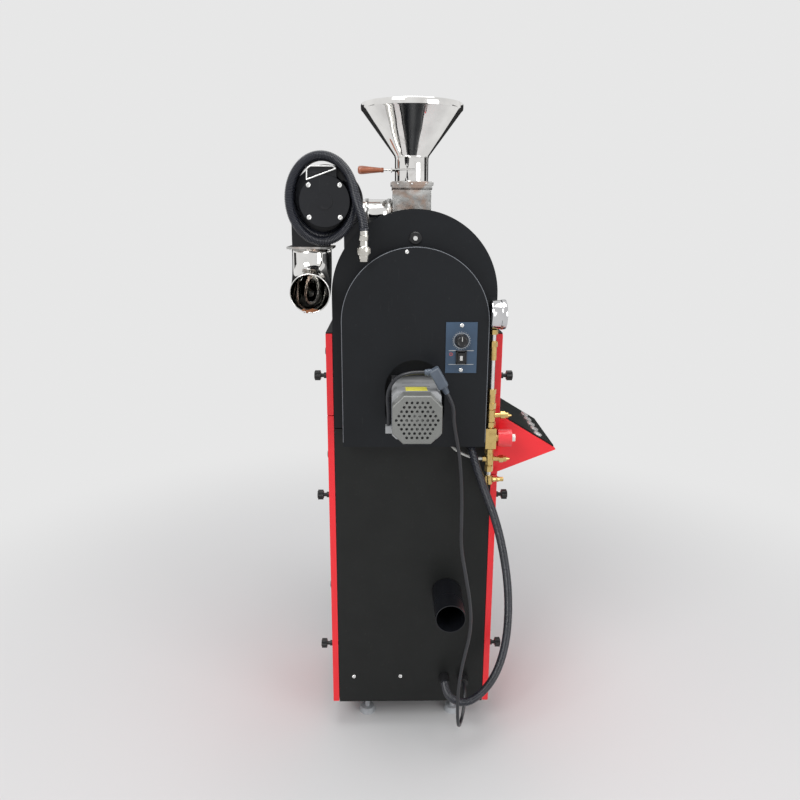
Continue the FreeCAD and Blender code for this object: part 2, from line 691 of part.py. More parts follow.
def drum_casing():
    """Round casing with its end walls, the drum head in front, and the top deck as its wings."""
    centre = ("0", "axis_height")
    shell = pipe("Y", centre, "casing_radius", "casing_wall", ("casing_start", "front_inner"))
    rear = cut(rod("Y", centre, "casing_radius - casing_wall",
                   ("casing_start", "casing_start + casing_wall")),
               rod("Y", centre, "shaft_radius + 4", ("casing_start", "casing_start + casing_wall")))
    middle = cut(rod("Y", centre, "casing_radius - casing_wall",
                     ("head_start - casing_wall", "head_start")),
                 rod("Y", centre, "mouth_radius", ("head_start - casing_wall", "head_start")))
    deck_reach = "sqrt(casing_radius * casing_radius - (axis_height - cover_top) * (axis_height - cover_top))"
    wings = [
        box(("-side", f"-({deck_reach}) + casing_wall"), ("rear_plate_thick", "front_inner"),
            ("cover_top", "deck_top")),
        box((f"{deck_reach} - casing_wall", "side"), ("rear_plate_thick", "front_inner"),
            ("cover_top", "deck_top")),
    ]
    chain_deck = box(("-side", "side"), ("rear_plate_thick", "casing_start"), ("cover_top", "deck_top"))
    chain_gap = box(("-70", "70"), ("rear_plate_thick", "casing_start"), ("cover_top - 1", "deck_top + 1"))
    slot = box(("-burner_slot", "burner_slot"),
               ("casing_start + casing_wall", "head_start - casing_wall"),
               ("axis_height - casing_radius - 1", "axis_height - casing_radius + 30"))
    inlet = box(("chute_wall - chute_half", "chute_half - chute_wall"),
                ("hopper_y - chute_half + chute_wall", "hopper_y + chute_half - chute_wall"),
                ("axis_height + 60", "axis_height + casing_radius + 1"))
    whole = fuse(shell, rear, middle, *wings, cut(chain_deck, chain_gap))
    finish(cut(whole, slot, inlet), "drum_casing")


def drive_cover():
    body = new_body("drive_cover_body")
    outer = outline(new_sketch(body), (
        ("-drive_half", "drive_bottom"),
        ("drive_half", "drive_bottom"),
        ("drive_half", "drive_arch", "0", "drive_arch"),
        ("-drive_half", "drive_arch"),
    ))
    pad(body, outer, "drive_reach")
    inner = outline(new_sketch(body), (
        ("cover_sheet - drive_half", "drive_bottom - 1"),
        ("drive_half - cover_sheet", "drive_bottom - 1"),
        ("drive_half - cover_sheet", "drive_arch", "0", "drive_arch"),
        ("cover_sheet - drive_half", "drive_arch"),
    ))
    pocket(body, inner, "drive_reach - cover_sheet", backwards=True)
    openings = new_sketch(body)
    outline(openings, (
        ("-slot_half", "slot_low", "0", "slot_low"),
        ("slot_half", "slot_low"),
        ("slot_half", "slot_top", "0", "slot_top"),
        ("-slot_half", "slot_top"),
    ))
    left = "control_x - control_width / 2 + 4 - part_gap"
    right = "control_x + control_width / 2 - 4 + part_gap"
    low = "control_z - control_height / 2 + 5 - part_gap"
    high = "control_z + control_height / 2 - 5 + part_gap"
    outline(openings, ((left, low), (right, low), (right, high), (left, high)))
    pocket(body, openings, "drive_reach", backwards=True)
    finish(body, "drive_cover")


def drum():
    """Drum shell with its rear wall, front spider, mixing vanes and the shaft they turn on."""
    centre = ("0", "axis_height")
    shell = pipe("Y", centre, "drum_radius", "drum_wall", ("drum_start", "drum_end"))
    wall = rod("Y", centre, "drum_radius - drum_wall", ("drum_start", "drum_start + drum_wall"))
    shaft = rod("Y", centre, "shaft_radius", ("-bearing_length - 4", "body_depth + bearing_length + 4"))
    hub = rod("Y", centre, "shaft_radius + 8", ("drum_end - 26", "drum_end - 8"))
    arms = []
    vanes = []
    for number in range(4):
        arm = box(("shaft_radius", "drum_radius - drum_wall / 2"), ("drum_end - 22", "drum_end - 12"),
                  ("-5", "5"))
        arms.append(swung(arm, 90 * number))
        vane = box(("drum_radius - drum_wall / 2 - vane_height", "drum_radius - drum_wall / 2"),
                   ("drum_start + drum_wall / 2", "drum_end - 30"), ("-1.5", "1.5"))
        vanes.append(swung(vane, 90 * number + 45))
    finish(fuse(shell, wall, shaft, hub, *arms, *vanes), "drum")


def swung(thing, angle):
    """Swing a piece drawn about the Y axis to its place round the drum axis."""
    carrier = doc.addObject("Part::Compound", "carrier")
    carrier.Links = [thing]
    carrier.Placement = FreeCAD.Placement(
        FreeCAD.Vector(), FreeCAD.Rotation(FreeCAD.Vector(0, 1, 0), angle))
    return place(carrier, "0", "0", "axis_height")


def sprocket_shape(teeth, bore, thick, hub_radius, hub_length):
    """Sprocket about Z with rounded roller seats, one hub on its upper side, and a bore."""
    pitch_radius = value("chain_pitch") / 2 / math.sin(math.pi / teeth)
    roller = value("roller_radius")
    tip = pitch_radius + roller * 0.55
    step = 2 * math.pi / teeth
    edges = []

    def polar(radius, angle):
        return FreeCAD.Vector(radius * math.cos(angle), radius * math.sin(angle), 0)
    seat = 0.30 * step
    land = 0.44 * step
    for number in range(teeth):
        middle = number * step
        start = polar(pitch_radius - roller * 0.25, middle - seat)
        end = polar(pitch_radius - roller * 0.25, middle + seat)
        edges.append(Part.Arc(start, polar(pitch_radius - roller, middle), end).toShape())
        rise = polar(tip, middle + land)
        fall = polar(tip, middle + step - land)
        edges.append(Part.LineSegment(end, rise).toShape())
        edges.append(Part.LineSegment(rise, fall).toShape())
        edges.append(Part.LineSegment(fall, polar(pitch_radius - roller * 0.25,
                                                  middle + step - seat)).toShape())
    face = Part.Face(Part.Wire(edges))
    blank = face.extrude(FreeCAD.Vector(0, 0, thick))
    hub = Part.makeCylinder(hub_radius, thick + hub_length)
    return blank.fuse(hub).cut(Part.makeCylinder(bore, thick + hub_length)).removeSplitter()


def laid_along_y(shape, z, start):
    """Turn a shape made about Z so that its axis lies along Y at a height."""
    laid = shape.copy()
    laid.rotate(FreeCAD.Vector(), FreeCAD.Vector(1, 0, 0), -90)
    laid.translate(FreeCAD.Vector(0, start, z))
    return laid


def sprockets():
    thick = value("sprocket_thick")
    start = value("chain_plane") - thick / 2
    large = sprocket_shape(round(value("drum_teeth")), value("shaft_radius"), thick, 24, 6)
    shaped("drum_sprocket", laid_along_y(large, value("axis_height"), start))
    small = sprocket_shape(round(value("motor_teeth")), value("output_radius + shaft_fit"), thick, 12, 6)
    half_tooth = 180 / value("motor_teeth")
    small.rotate(FreeCAD.Vector(), FreeCAD.Vector(0, 0, 1), half_tooth)
    shaped("motor_sprocket", laid_along_y(small, value("motor_height"), start))


def chain_loop(offset, thick):
    """Band round both sprockets at an offset from the pitch line, along Z from zero."""
    large = value("drum_pitch_radius")
    small = value("motor_pitch_radius")
    distance = value("axis_height - motor_height")
    lean = math.asin((large - small) / distance)

    def ring(grow):
        edges = []
        tops = []
        for radius, height in ((large + grow, 0.0), (small + grow, -distance)):
            across = radius * math.cos(lean)
            drop = radius * math.sin(lean)
            tops.append((FreeCAD.Vector(across, height - drop, 0), FreeCAD.Vector(-across, height - drop, 0),
                         FreeCAD.Vector(0, height + (radius if height == 0 else -radius), 0)))
        edges.append(Part.Arc(tops[0][0], tops[0][2], tops[0][1]).toShape())
        edges.append(Part.LineSegment(tops[0][1], tops[1][1]).toShape())
        edges.append(Part.Arc(tops[1][1], tops[1][2], tops[1][0]).toShape())
        edges.append(Part.LineSegment(tops[1][0], tops[0][0]).toShape())
        return Part.Face(Part.Wire(edges))
    return ring(offset).cut(ring(-offset)).extrude(FreeCAD.Vector(0, 0, thick))


def drive_chain():
    """Side plates as two closed bands, joined by the rollers of the straight runs."""
    plate = 1.2
    gap = value("sprocket_thick") / 2 + 1.0
    large = value("drum_pitch_radius")
    small = value("motor_pitch_radius")
    distance = value("axis_height - motor_height")
    lean = math.asin((large - small) / distance)
    run = distance * math.cos(lean)
    pitch = value("chain_pitch")
    band = chain_loop(value("roller_radius") + 0.8, plate)
    near = band.copy()
    near.translate(FreeCAD.Vector(0, 0, gap))
    far = band.copy()
    far.translate(FreeCAD.Vector(0, 0, -gap - plate))
    pieces = [near, far]
    count = int((run - 5 * pitch) / pitch)
    for side in (-1, 1):
        top = FreeCAD.Vector(side * large * math.cos(lean), -large * math.sin(lean), 0)
        down = FreeCAD.Vector(-side * math.sin(lean), -math.cos(lean), 0)
        first = (run - (count - 1) * pitch) / 2
        for number in range(count):
            centre = top + down * (first + number * pitch)
            roller = Part.makeCylinder(value("roller_radius") - 0.4, 2 * gap + 2 * plate,
                                       centre - FreeCAD.Vector(0, 0, gap + plate))
            pieces.append(roller)
    whole = pieces[0].fuse(pieces[1:])
    laid = whole.copy()
    laid.rotate(FreeCAD.Vector(), FreeCAD.Vector(1, 0, 0), 90)
    laid.translate(FreeCAD.Vector(0, value("chain_plane"), value("axis_height")))
    shaped("drive_chain", laid)


def bearing(rear):
    """Flanged bearing housing turned about Y, on the outside of a bearing plate."""
    body = new_body("bearing_body")
    long = "bearing_length"
    fit = "shaft_radius + shaft_fit"
    start = "0" if rear else "body_depth"
    profile = new_sketch(body, "XY_Plane")
    outline(profile, (
        (fit, "0"),
        ("bearing_radius", "0"),
        ("bearing_radius", "7"),
        ("bearing_radius * 0.62", "9"),
        ("bearing_radius * 0.56", long),
        (fit, long),
    ))
    revolve(body, profile)
    bolts = new_sketch(body, "XZ_Plane")
    circle(bolts, "bearing_radius - 7.5", "0", "3")
    holes = pocket(body, bolts, long)
    ring_of(body, holes, "Y_Axis", 4)
    turn = 180 if rear else 0
    body.Placement = FreeCAD.Placement(
        FreeCAD.Vector(), FreeCAD.Rotation(FreeCAD.Vector(0, 0, 1), turn))
    return place(body, "0", start, "axis_height")


def drum_bearings():
    finish(group([bearing(True), bearing(False)]), "drum_bearings")


def gear_motor():
    """Gearbox on the rear plate with its output shaft, and the motor behind it."""
    half = "motor_size / 2"
    box_end = "gearbox_length"
    gearbox = box((f"-{half}", half), (f"-{box_end}", "0"),
                  (f"motor_height - {half}", f"motor_height + {half}"))
    motor_body = new_body("motor_body")
    profile = new_sketch(motor_body, offset="gearbox_length")
    octagon(profile, half, "8")
    pad(motor_body, profile, "motor_length")
    place(motor_body, "0", "0", "motor_height")
    shaft = rod("Y", ("0", "motor_height"), "output_radius", ("-2", "chain_plane + 8"))
    boss = rod("Y", ("0", "motor_height"), "output_radius + 5", ("-2", "rear_plate_thick - 1"))
    lead_x, lead_y, lead_z = LEAD_START
    outlet = box((f"{lead_x} - 6", f"-{half} + 1"), (f"{lead_y} - 7", f"{lead_y} + 7"),
                 (f"{lead_z} - 14", str(lead_z)))
    finish(fuse(gearbox, motor_body, shaft, boss, outlet), "gear_motor")


def octagon(sketch, half, chamfer):
    inner = f"{half} - ({chamfer})"
    outline(sketch, (
        (f"-({inner})", f"-({half})"),
        (inner, f"-({half})"),
        (half, f"-({inner})"),
        (half, inner),
        (inner, half),
        (f"-({inner})", half),
        (f"-({half})", inner),
        (f"-({half})", f"-({inner})"),
    ))


def motor_fan_cap():
    """Chamfered fan cap, perforated with a hexagon of round holes."""
    body = new_body("fan_cap_body")
    end = "motor_end"
    half = "motor_size / 2"
    profile = new_sketch(body, offset="motor_end - cap_length")
    octagon(profile, half, "motor_chamfer")
    pad(body, profile, "cap_length")
    rear = -value(end) + 0.01
    round_edges(body, 3, lambda edge: edge.BoundBox.YMax < rear)
    hollow = new_sketch(body, offset="motor_end - cap_length")
    octagon(hollow, f"{half} - cap_wall", "motor_chamfer - cap_wall")
    pocket(body, hollow, "cap_length - cap_wall", backwards=True)
    middle = new_sketch(body, offset=end)
    circle(middle, "0", "0", "cap_hole")
    pocket(body, middle, "cap_wall + 1")
    sector = new_sketch(body, offset=end)
    for ring in range(1, 5):
        for step in range(ring):
            x = f"cap_pitch * ({ring} - {step} / 2)"
            z = f"cap_pitch * {step} * 0.866025"
            circle(sector, x, z, "cap_hole")
    holes = pocket(body, sector, "cap_wall + 1")
    ring_of(body, holes, "Y_Axis", 6)
    finish(body, "motor_fan_cap", z="motor_height")


def speed_controller():
    """Flat face with the controller's box behind it, open for the knob's shaft and the rocker."""
    half_w = "control_width / 2"
    half_h = "control_height / 2"
    face = box((f"control_x - {half_w}", f"control_x + {half_w}"), ("-control_face_y", "-drive_reach"),
               (f"control_z - {half_h}", f"control_z + {half_h}"))
    case = box((f"control_x - {half_w} + 4", f"control_x + {half_w} - 4"), ("-drive_reach", "-8"),
               (f"control_z - {half_h} + 5", f"control_z + {half_h} - 5"))
    frame = box(("control_x - switch_width / 2 - 3", "control_x + switch_width / 2 + 3"),
                ("-control_face_y - 2", "-control_face_y"),
                ("switch_z - switch_height / 2 - 3", "switch_z + switch_height / 2 + 3"))
    shaft_hole = rod("Y", ("control_x", "knob_z"), "3 + part_gap", ("-control_face_y", "-drive_reach + 9"))
    switch_hole = box(("control_x - switch_width / 2 - part_gap", "control_x + switch_width / 2 + part_gap"),
                      ("-control_face_y - 2", "-drive_reach + 9"),
                      ("switch_z - switch_height / 2 - 0.6", "switch_z + switch_height / 2 + 0.6"))
    finish(cut(fuse(face, case, frame), shaft_hole, switch_hole), "speed_controller")


def speed_knob():
    body = new_body("speed_knob_body")
    outline(new_sketch(body, "XY_Plane"), (
        ("0", "-7"),
        ("3", "-7"),
        ("3", "0.4"),
        ("speed_knob_radius + 2", "0.4"),
        ("speed_knob_radius + 2", "1.8"),
        ("speed_knob_radius", "3"),
        ("speed_knob_radius - 1", "14"),
        ("speed_knob_radius - 2", "15"),
        ("0", "15"),
    ))
    revolve(body, body.Group[0])
    mark = new_sketch(body, offset="-15.5")
    outline(mark, (
        ("-0.7", "3"), ("0.7", "3"), ("0.7", "speed_knob_radius + 3"), ("-0.7", "speed_knob_radius + 3"),
    ))
    pocket(body, mark, "1.2", backwards=False)
    body.Placement = FreeCAD.Placement(
        FreeCAD.Vector(), FreeCAD.Rotation(FreeCAD.Vector(0, 0, 1), 180))
    finish(body, "speed_knob", x="control_x", y="-control_face_y", z="knob_z")


def speed_switch():
    """Rocker of the power switch, lying on its upper side at rest."""
    rocker = box(("-switch_width / 2", "switch_width / 2"), ("-3.6", "2.4"),
                 ("-switch_height / 2 + 0.3", "switch_height / 2 - 0.3"))
    carrier = doc.addObject("Part::Compound", "carrier")
    carrier.Links = [rocker]
    carrier.Placement = FreeCAD.Placement(
        FreeCAD.Vector(), FreeCAD.Rotation(FreeCAD.Vector(1, 0, 0), value("rocker_tilt")))
    finish(carrier, "speed_switch", x="control_x", y="-control_face_y", z="switch_z")


def burner():
    """Three slotted burner tubes under the drum on a cross manifold, with its feed from the tee."""
    height = "axis_height - casing_radius - 24"
    ys = ("rear_plate_thick + post_size + 10", "head_start - 20")
    tubes = [rod("Y", (x, height), "9", ys) for x in ("-45", "0", "45")]
    manifold = box(("-58", "58"), (ys[0], f"{ys[0]} + 18"), (f"{height} - 14", f"{height} + 8"))
    feed = doc.addObject("Part::Feature", "feed")
    feed.Shape = tube_along("burner_feed", (
        spot("50", "branch_y", f"{height} - 4"),
        spot("gas_x - 60", "branch_y", f"{height} - 4"),
        spot("gas_x - 60", "branch_y", "tee_high"),
        spot("gas_x - 28", "branch_y", "tee_high"),
    ), value("gas_pipe"))
    bridge = box(("-frame_half + post_size", "frame_half - post_size"),
                 ("body_depth / 2 - 8", "body_depth / 2 + 8"), (f"{height} - 15", f"{height} - 6"))
    finish(fuse(*tubes, manifold, bridge, feed), "burner")


def gas_train():
    """Pipe, fittings, valve block, tees and the hose barb, as one screwed run behind the cover."""
    at = ("gas_x", "-gas_y")
    pieces = [
        rod("Z", at, "gas_pipe", ("barb_z", "gauge_z - gauge_radius")),
        hexagon("Z", at, "8", ("gauge_z - gauge_radius - 9", "gauge_z - gauge_radius")),
        rod("Z", at, "6.5", ("tee_high + 112", "tee_high + 150")),
        hexagon("Z", at, "8.2", ("tee_high + 138", "tee_high + 148")),
        hexagon("Z", at, "9", ("tee_high + 44", "tee_high + 54")),
        rod("Z", at, "7.5", ("tee_high + 16", "tee_high + 52")),
        hexagon("Z", at, "9.5", ("tee_high + 14", "tee_high + 26")),
        rod("Z", at, "8.5", ("tee_high - 12", "tee_high + 12")),
        hexagon("Z", at, "10", ("valve_z + 26", "valve_z + 36")),
        box(("gas_x - 10", "gas_x + 11"), ("-gas_y - 11", "-gas_y + 11"), ("valve_z - 18", "valve_z + 24")),
        rod("Z", at, "8.5", ("tee_low - 12", "tee_low + 12")),
        hexagon("Z", at, "9.5", ("tee_low + 12", "tee_low + 22")),
        hexagon("Z", at, "8.5", ("tee_low - 26", "tee_low - 14")),
        rod("Z", at, "8", ("barb_z - 9", "barb_z + 9")),
        rod("Y", ("gas_x", "tee_high"), "gas_pipe", ("-gas_y", "branch_y + gas_pipe")),
        hexagon("Y", ("gas_x", "tee_high"), "8", ("-gas_y + 12", "-gas_y + 22")),
        rod("X", ("branch_y", "tee_high"), "gas_pipe + 1", ("gas_x - 28", "gas_x")),
    ]
    for height in ("tee_high", "tee_low"):
        middle = ("-gas_y", height)
        pieces += [
            rod("X", middle, "5", ("gas_x", "gas_x + 20")),
            hexagon("X", middle, "8", ("gas_x + 19", "gas_x + 28")),
            rod("X", middle, "6", ("gas_x + 28", "gas_x + 34")),
            cone("X", middle, ("4", "1.5"), ("gas_x + 34", "gas_x + 41")),
        ]
    barb_parts = [
        rod("X", ("-gas_y", "barb_z"), "4.5", ("gas_x", "gas_x + 30")),
        cone("X", ("-gas_y", "barb_z"), ("6.5", "4.5"), ("gas_x + 9", "gas_x + 15")),
        cone("X", ("-gas_y", "barb_z"), ("6", "4.3"), ("gas_x + 18", "gas_x + 23")),
    ]
    tube_socket = rod("X", ("-gas_y", "tee_low"), "6", ("gas_x - 14", "gas_x"))
    finish(fuse(*pieces, *barb_parts, tube_socket), "gas_train")


def solenoid_coil():
    """Coil on the side of the valve block, with its end nut."""
    middle = ("-gas_y", "valve_z + 2")
    coil = rod("X", middle, "coil_radius", ("gas_x + 15", "gas_x + 42"))
    neck = rod("X", middle, "8", ("gas_x + 11", "gas_x + 15"))
    nut = hexagon("X", middle, "8", ("gas_x + 42", "gas_x + 50"))
    finish(fuse(coil, neck, nut), "solenoid_coil")


def gas_gauge():
    """Pressure gauge whose dial faces the operator's right, on the top of the gas pipe."""
    middle = ("-gas_y", "gauge_z")
    start = "gas_x - 9"
    case = rod("X", middle, "gauge_radius", (start, f"{start} + gauge_length"))
    recess = rod("X", middle, "gauge_radius - 2.5", (f"{start} + gauge_length - 3",
                                                     f"{start} + gauge_length"))
    finish(cut(case, recess, rod("Z", ("gas_x", "-gas_y"), "8.5",
                                 ("gauge_z - gauge_radius - 10", "gauge_z - gauge_radius"))), "gas_gauge")


def hopper():
    """Funnel of bright sheet with a rolled rim, its neck slit for the gate."""
    body = new_body("hopper_body")
    sheet_in = "hopper_sheet"
    outline(new_sketch(body, "XZ_Plane"), (
        (f"neck_radius - {sheet_in}", "neck_bottom"),
        ("flange_half - 4", "neck_bottom"),
        ("flange_half - 4", "neck_bottom + 2.5"),
        ("neck_radius", "neck_bottom + 2.5"),
        ("neck_radius", "cone_bottom"),
        ("hopper_radius", "hopper_top - 14"),
        ("hopper_radius + 2", "hopper_top - 12"),
        ("hopper_radius + 2", "hopper_top - 2"),
        ("hopper_radius", "hopper_top"),
        (f"hopper_radius - {sheet_in}", "hopper_top"),
        (f"hopper_radius - {sheet_in}", "hopper_top - 13.5"),
        (f"neck_radius - {sheet_in}", "cone_bottom + 0.8"),
    ))
    revolve(body, body.Group[0])
    place(body, "0", "hopper_y", "0")
    slit = box(("-neck_radius - 1", "neck_radius - hopper_sheet"),
               ("hopper_y - neck_radius + 1", "hopper_y + neck_radius - 1"),
               ("gate_height - gate_thick / 2 - part_gap", "gate_height + gate_thick / 2 + part_gap"))
    finish(cut(body, slit), "hopper")


def hopper_gate():
    """Sliding gate in the hopper's neck: a round-ended plate on a thin rod."""
    z = ("gate_height - gate_thick / 2", "gate_height + gate_thick / 2")
    radius = "neck_radius - hopper_sheet - part_gap"
    disc = rod("Z", ("0", "hopper_y"), radius, z)
    tongue = box(("-neck_radius - 6", "0"), (f"hopper_y - ({radius})", f"hopper_y + ({radius})"), z)
    stem = rod("X", ("hopper_y", "gate_height"), "1.6", ("-grip_start - 10", "-neck_radius - 4"))
    lip = box(("-neck_radius - 8", "-neck_radius - 6"), ("hopper_y - 20", "hopper_y + 20"),
              ("gate_height - 4", "gate_height + 4"))
    finish(fuse(disc, tongue, stem, lip), "hopper_gate")


def gate_handle():
    """Turned grip of the gate, fatter at its outer end."""
    body = new_body("grip_body")
    length = "grip_length"
    outline(new_sketch(body, "XZ_Plane"), (
        ("1.6", "0"),
        ("grip_radius * 0.55", "0"),
        ("grip_radius * 0.6", f"{length} * 0.2"),
        ("grip_radius * 0.86", f"{length} * 0.6"),
        ("grip_radius", f"{length} * 0.86"),
        ("grip_radius * 0.8", f"{length} * 0.97"),
        ("grip_radius * 0.3", length),
        ("0", length),
        ("0", "10"),
        ("1.6", "10"),
    ))
    revolve(body, body.Group[0])
    body.Placement = FreeCAD.Placement(
        FreeCAD.Vector(), FreeCAD.Rotation(FreeCAD.Vector(0, 1, 0), -90))
    finish(body, "gate_handle", x="-grip_start", y="hopper_y", z="gate_height")


def square_ring(half, wall, zs):
    """Square tube round the hopper's axis."""
    outer = box((f"-({half})", half), (f"hopper_y - ({half})", f"hopper_y + {half}"), zs)
    inner = box((f"{wall} - ({half})", f"{half} - ({wall})"),
                (f"hopper_y - ({half}) + {wall}", f"hopper_y + {half} - ({wall})"), zs)
    return cut(outer, inner)


def hopper_chute():
    """Square chute that stands on the drum head, with a flange for the hopper."""
    low = "sqrt(casing_radius * casing_radius - chute_half * chute_half)"
    walls = square_ring("chute_half", "chute_wall", (f"axis_height + {low} - 1", "chute_top"))
    round_cut = rod("Y", ("0", "axis_height"), "casing_radius", ("head_start - 5", "front_inner + 5"))
    flange = square_ring("flange_half", "flange_half - chute_half + chute_wall",
                         ("chute_top", "neck_bottom"))
    window = rod("X", ("hopper_y", "duct_z"), "duct_radius - duct_wall",
                 ("-chute_half - 1", "0"))
    walls = cut(walls, round_cut, window)
    finish(fuse(walls, flange), "hopper_chute")


def swept_tube(points, bend, radius, wall):
    """Round tube along three points with one bend, open at both ends."""
    first, corner, last = points
    leave = (first - corner).normalize()
    reach = (last - corner).normalize()
    turn = math.pi - leave.getAngle(reach)
    back = bend * math.tan(turn / 2)
    start = corner + leave * back
    end = corner + reach * back
    inward = (leave + reach).normalize()
    centre = corner + inward * (bend / math.cos(turn / 2))
    middle = centre - inward * bend
    path = Part.Wire([
        Part.LineSegment(first, start).toShape(),
        Part.Arc(start, middle, end).toShape(),
        Part.LineSegment(end, last).toShape(),
    ])
    solids = []
    for size in (radius, radius - wall):
        edge = Part.makeCircle(size, first, leave)
        solids.append(path.makePipeShell([Part.Wire([edge])], True, False))
    return solids[0].cut(solids[1])


def exhaust_duct():
    """Bright duct from the chute to the blower's inlet, bent once behind the blower."""
    start = spot("-chute_half", "hopper_y", "duct_z")
    corner = spot("-blower_x", "hopper_y", "duct_z")
    end = spot("-blower_x", "blower_rear + blower_width - 6", "blower_z")
    tube = swept_tube((start, corner, end), value("duct_bend"), value("duct_radius"), value("duct_wall"))
    inside_collar = Part.makeBox(200, 60, 200, end + FreeCAD.Vector(-100, -54, -100))
    shaped("exhaust_duct", tube.cut(inside_collar))


def blower_housing():
    """Scroll with its square outlet below, its inlet collar in front, and a bracket to the plate."""
    ys = ("blower_rear", "blower_rear + blower_width")
    inner_ys = ("blower_rear + blower_wall", "blower_rear + blower_width - blower_wall")
    middle = ("-blower_x", "blower_z")
    scroll = rod("Y", middle, "blower_radius", ys)
    outlet = box(("-outlet_x - outlet_half", "outlet_half - outlet_x"), ys, ("outlet_z", "blower_z"))
    hollow = rod("Y", middle, "blower_radius - blower_wall", inner_ys)
    throat = box(("-outlet_x - outlet_half + blower_wall", "outlet_half - outlet_x - blower_wall"),
                 inner_ys, ("outlet_z", "blower_z"))
    inlet = rod("Y", middle, "duct_radius + 3", ("blower_rear + blower_width - blower_wall - 1",
                                                   "blower_rear + blower_width + 13"))
    collar = rod("Y", middle, "duct_radius + 5.5", (ys[1], f"{ys[1]} + 12"))
    shaft = rod("Y", middle, "fan_shaft + part_gap", ("blower_rear - 1", "blower_rear + blower_wall + 1"))
    plate = box(("-blower_x + 30", "-60"), ("rear_plate_thick", "rear_plate_thick + 4"),
                ("blower_z - 120", "blower_z - 40"))
    inside = rod("Y", ("0", "axis_height"), "frame_half - 3", ("rear_plate_thick", "rear_plate_thick + 4"))
    near = rod("Y", middle, "blower_radius + 25", ("rear_plate_thick", "rear_plate_thick + 4"))
    bracket = common(plate, fuse(inside, near))
    finish(cut(fuse(scroll, outlet, collar, bracket), hollow, throat, inlet, shaft), "blower_housing")


def blower_motor():
    """Blower motor with its end plate, terminal box and conduit gland."""
    middle = ("-blower_x", "blower_z")
    end = "blower_rear - fan_motor_length"
    case = rod("Y", middle, "fan_motor_radius - 2.5", (f"{end} + 5", "blower_rear"))
    plate = rod("Y", middle, "fan_motor_radius", (end, f"{end} + 5"))
    shaft = rod("Y", middle, "fan_shaft", ("blower_rear - 1", "blower_rear + blower_width / 2"))
    top = "blower_z + fan_motor_radius"
    terminal = box(("-blower_x - 31", "22 - blower_x"), (f"{end} + 2", f"{end} + 44"),
                   (f"{top} - 14", f"{top} + 13"))
    gland = doc.addObject("Part::Compound", "slanted_gland")
    gland.Links = [hexagon("Z", ("0", "0"), "11", ("0", "20"))]
    gland.Placement = FreeCAD.Placement(
        FreeCAD.Vector(*HOSE_START), FreeCAD.Rotation(FreeCAD.Vector(0, 1, 0), -45))
    finish(fuse(case, plate, shaft, terminal, gland), "blower_motor")


def blower_impeller():
    """Backplate, hub and straight blades, pressed on the motor shaft."""
    middle = ("-blower_x", "blower_z")
    start = "blower_rear + blower_wall + 4"
    plate = rod("Y", middle, "impeller_radius", (start, f"{start} + 2"))
    hub = rod("Y", middle, "fan_shaft + 6", (start, f"{start} + 20"))
    blades = []
    for number in range(8):
        blade = box(("14", "impeller_radius - 1"), (f"{start} + 1", f"{start} + 30"), ("-0.8", "0.8"))
        carrier = doc.addObject("Part::Compound", "carrier")
        carrier.Links = [blade]
        carrier.Placement = FreeCAD.Placement(
            FreeCAD.Vector(), FreeCAD.Rotation(FreeCAD.Vector(0, 1, 0), 45 * number))
        blades.append(place(carrier, "-blower_x", "0", "blower_z"))
    bore = rod("Y", middle, "fan_shaft + 0.05", (start, f"{start} + 30"))
    finish(cut(fuse(plate, hub, *blades), bore), "blower_impeller")


def outlet_elbow():
    """Bright elbow under the blower, whose mouth looks back and a little down."""
    bend = value("elbow_bend")
    turn = math.radians(value("elbow_turn"))
    start = spot("-outlet_x", "outlet_y", "outlet_z - elbow_flange")
    arc_start = start - FreeCAD.Vector(0, 0, value("elbow_leg"))
    centre = arc_start - FreeCAD.Vector(0, bend, 0)

    def on_arc(angle):
        return centre + FreeCAD.Vector(0, bend * math.cos(angle), -bend * math.sin(angle))
    arc_end = on_arc(turn)
    ahead = FreeCAD.Vector(0, -math.sin(turn), -math.cos(turn))
    end = arc_end + ahead * 12
    path = Part.Wire([
        Part.LineSegment(start, arc_start).toShape(),
        Part.Arc(arc_start, on_arc(turn / 2), arc_end).toShape(),
        Part.LineSegment(arc_end, end).toShape(),
    ])
    solids = []
    for size in (value("elbow_radius"), value("elbow_radius - elbow_wall")):
        edge = Part.makeCircle(size, start, FreeCAD.Vector(0, 0, -1))
        solids.append(path.makePipeShell([Part.Wire([edge])], True, False))
    half = value("elbow_radius") + 5
    flange = Part.makeBox(2 * half, 2 * half, value("elbow_flange"),
                          start - FreeCAD.Vector(half, half, 0))
    bore = Part.makeCylinder(value("elbow_radius - elbow_wall") - 6, value("elbow_flange"), start)
    shape = solids[0].cut(solids[1]).fuse(flange.cut(bore))
    shaped("outlet_elbow", shape)


def discharge_door():
    """Bean door hinged along its top edge, with a lever handle."""
    half = "door_width / 2"
    low = "door_z - door_height / 2"
    high = "door_z + door_height / 2"
    ys = ("body_depth + part_gap", "body_depth + part_gap + door_thick")
    plate = box((f"-{half}", half), ys, (low, high))
    barrel = rod("X", (f"body_depth + 6", f"{high} + 3"), "5", (f"-{half}", half))
    lever = rod("Y", ("0", "door_z"), "4", (ys[1], f"{ys[1]} + 40"))
    grip = rod("Y", ("0", "door_z"), "10", (f"{ys[1]} + 40", f"{ys[1]} + 64"))
    finish(fuse(plate, barrel, lever, grip), "discharge_door")


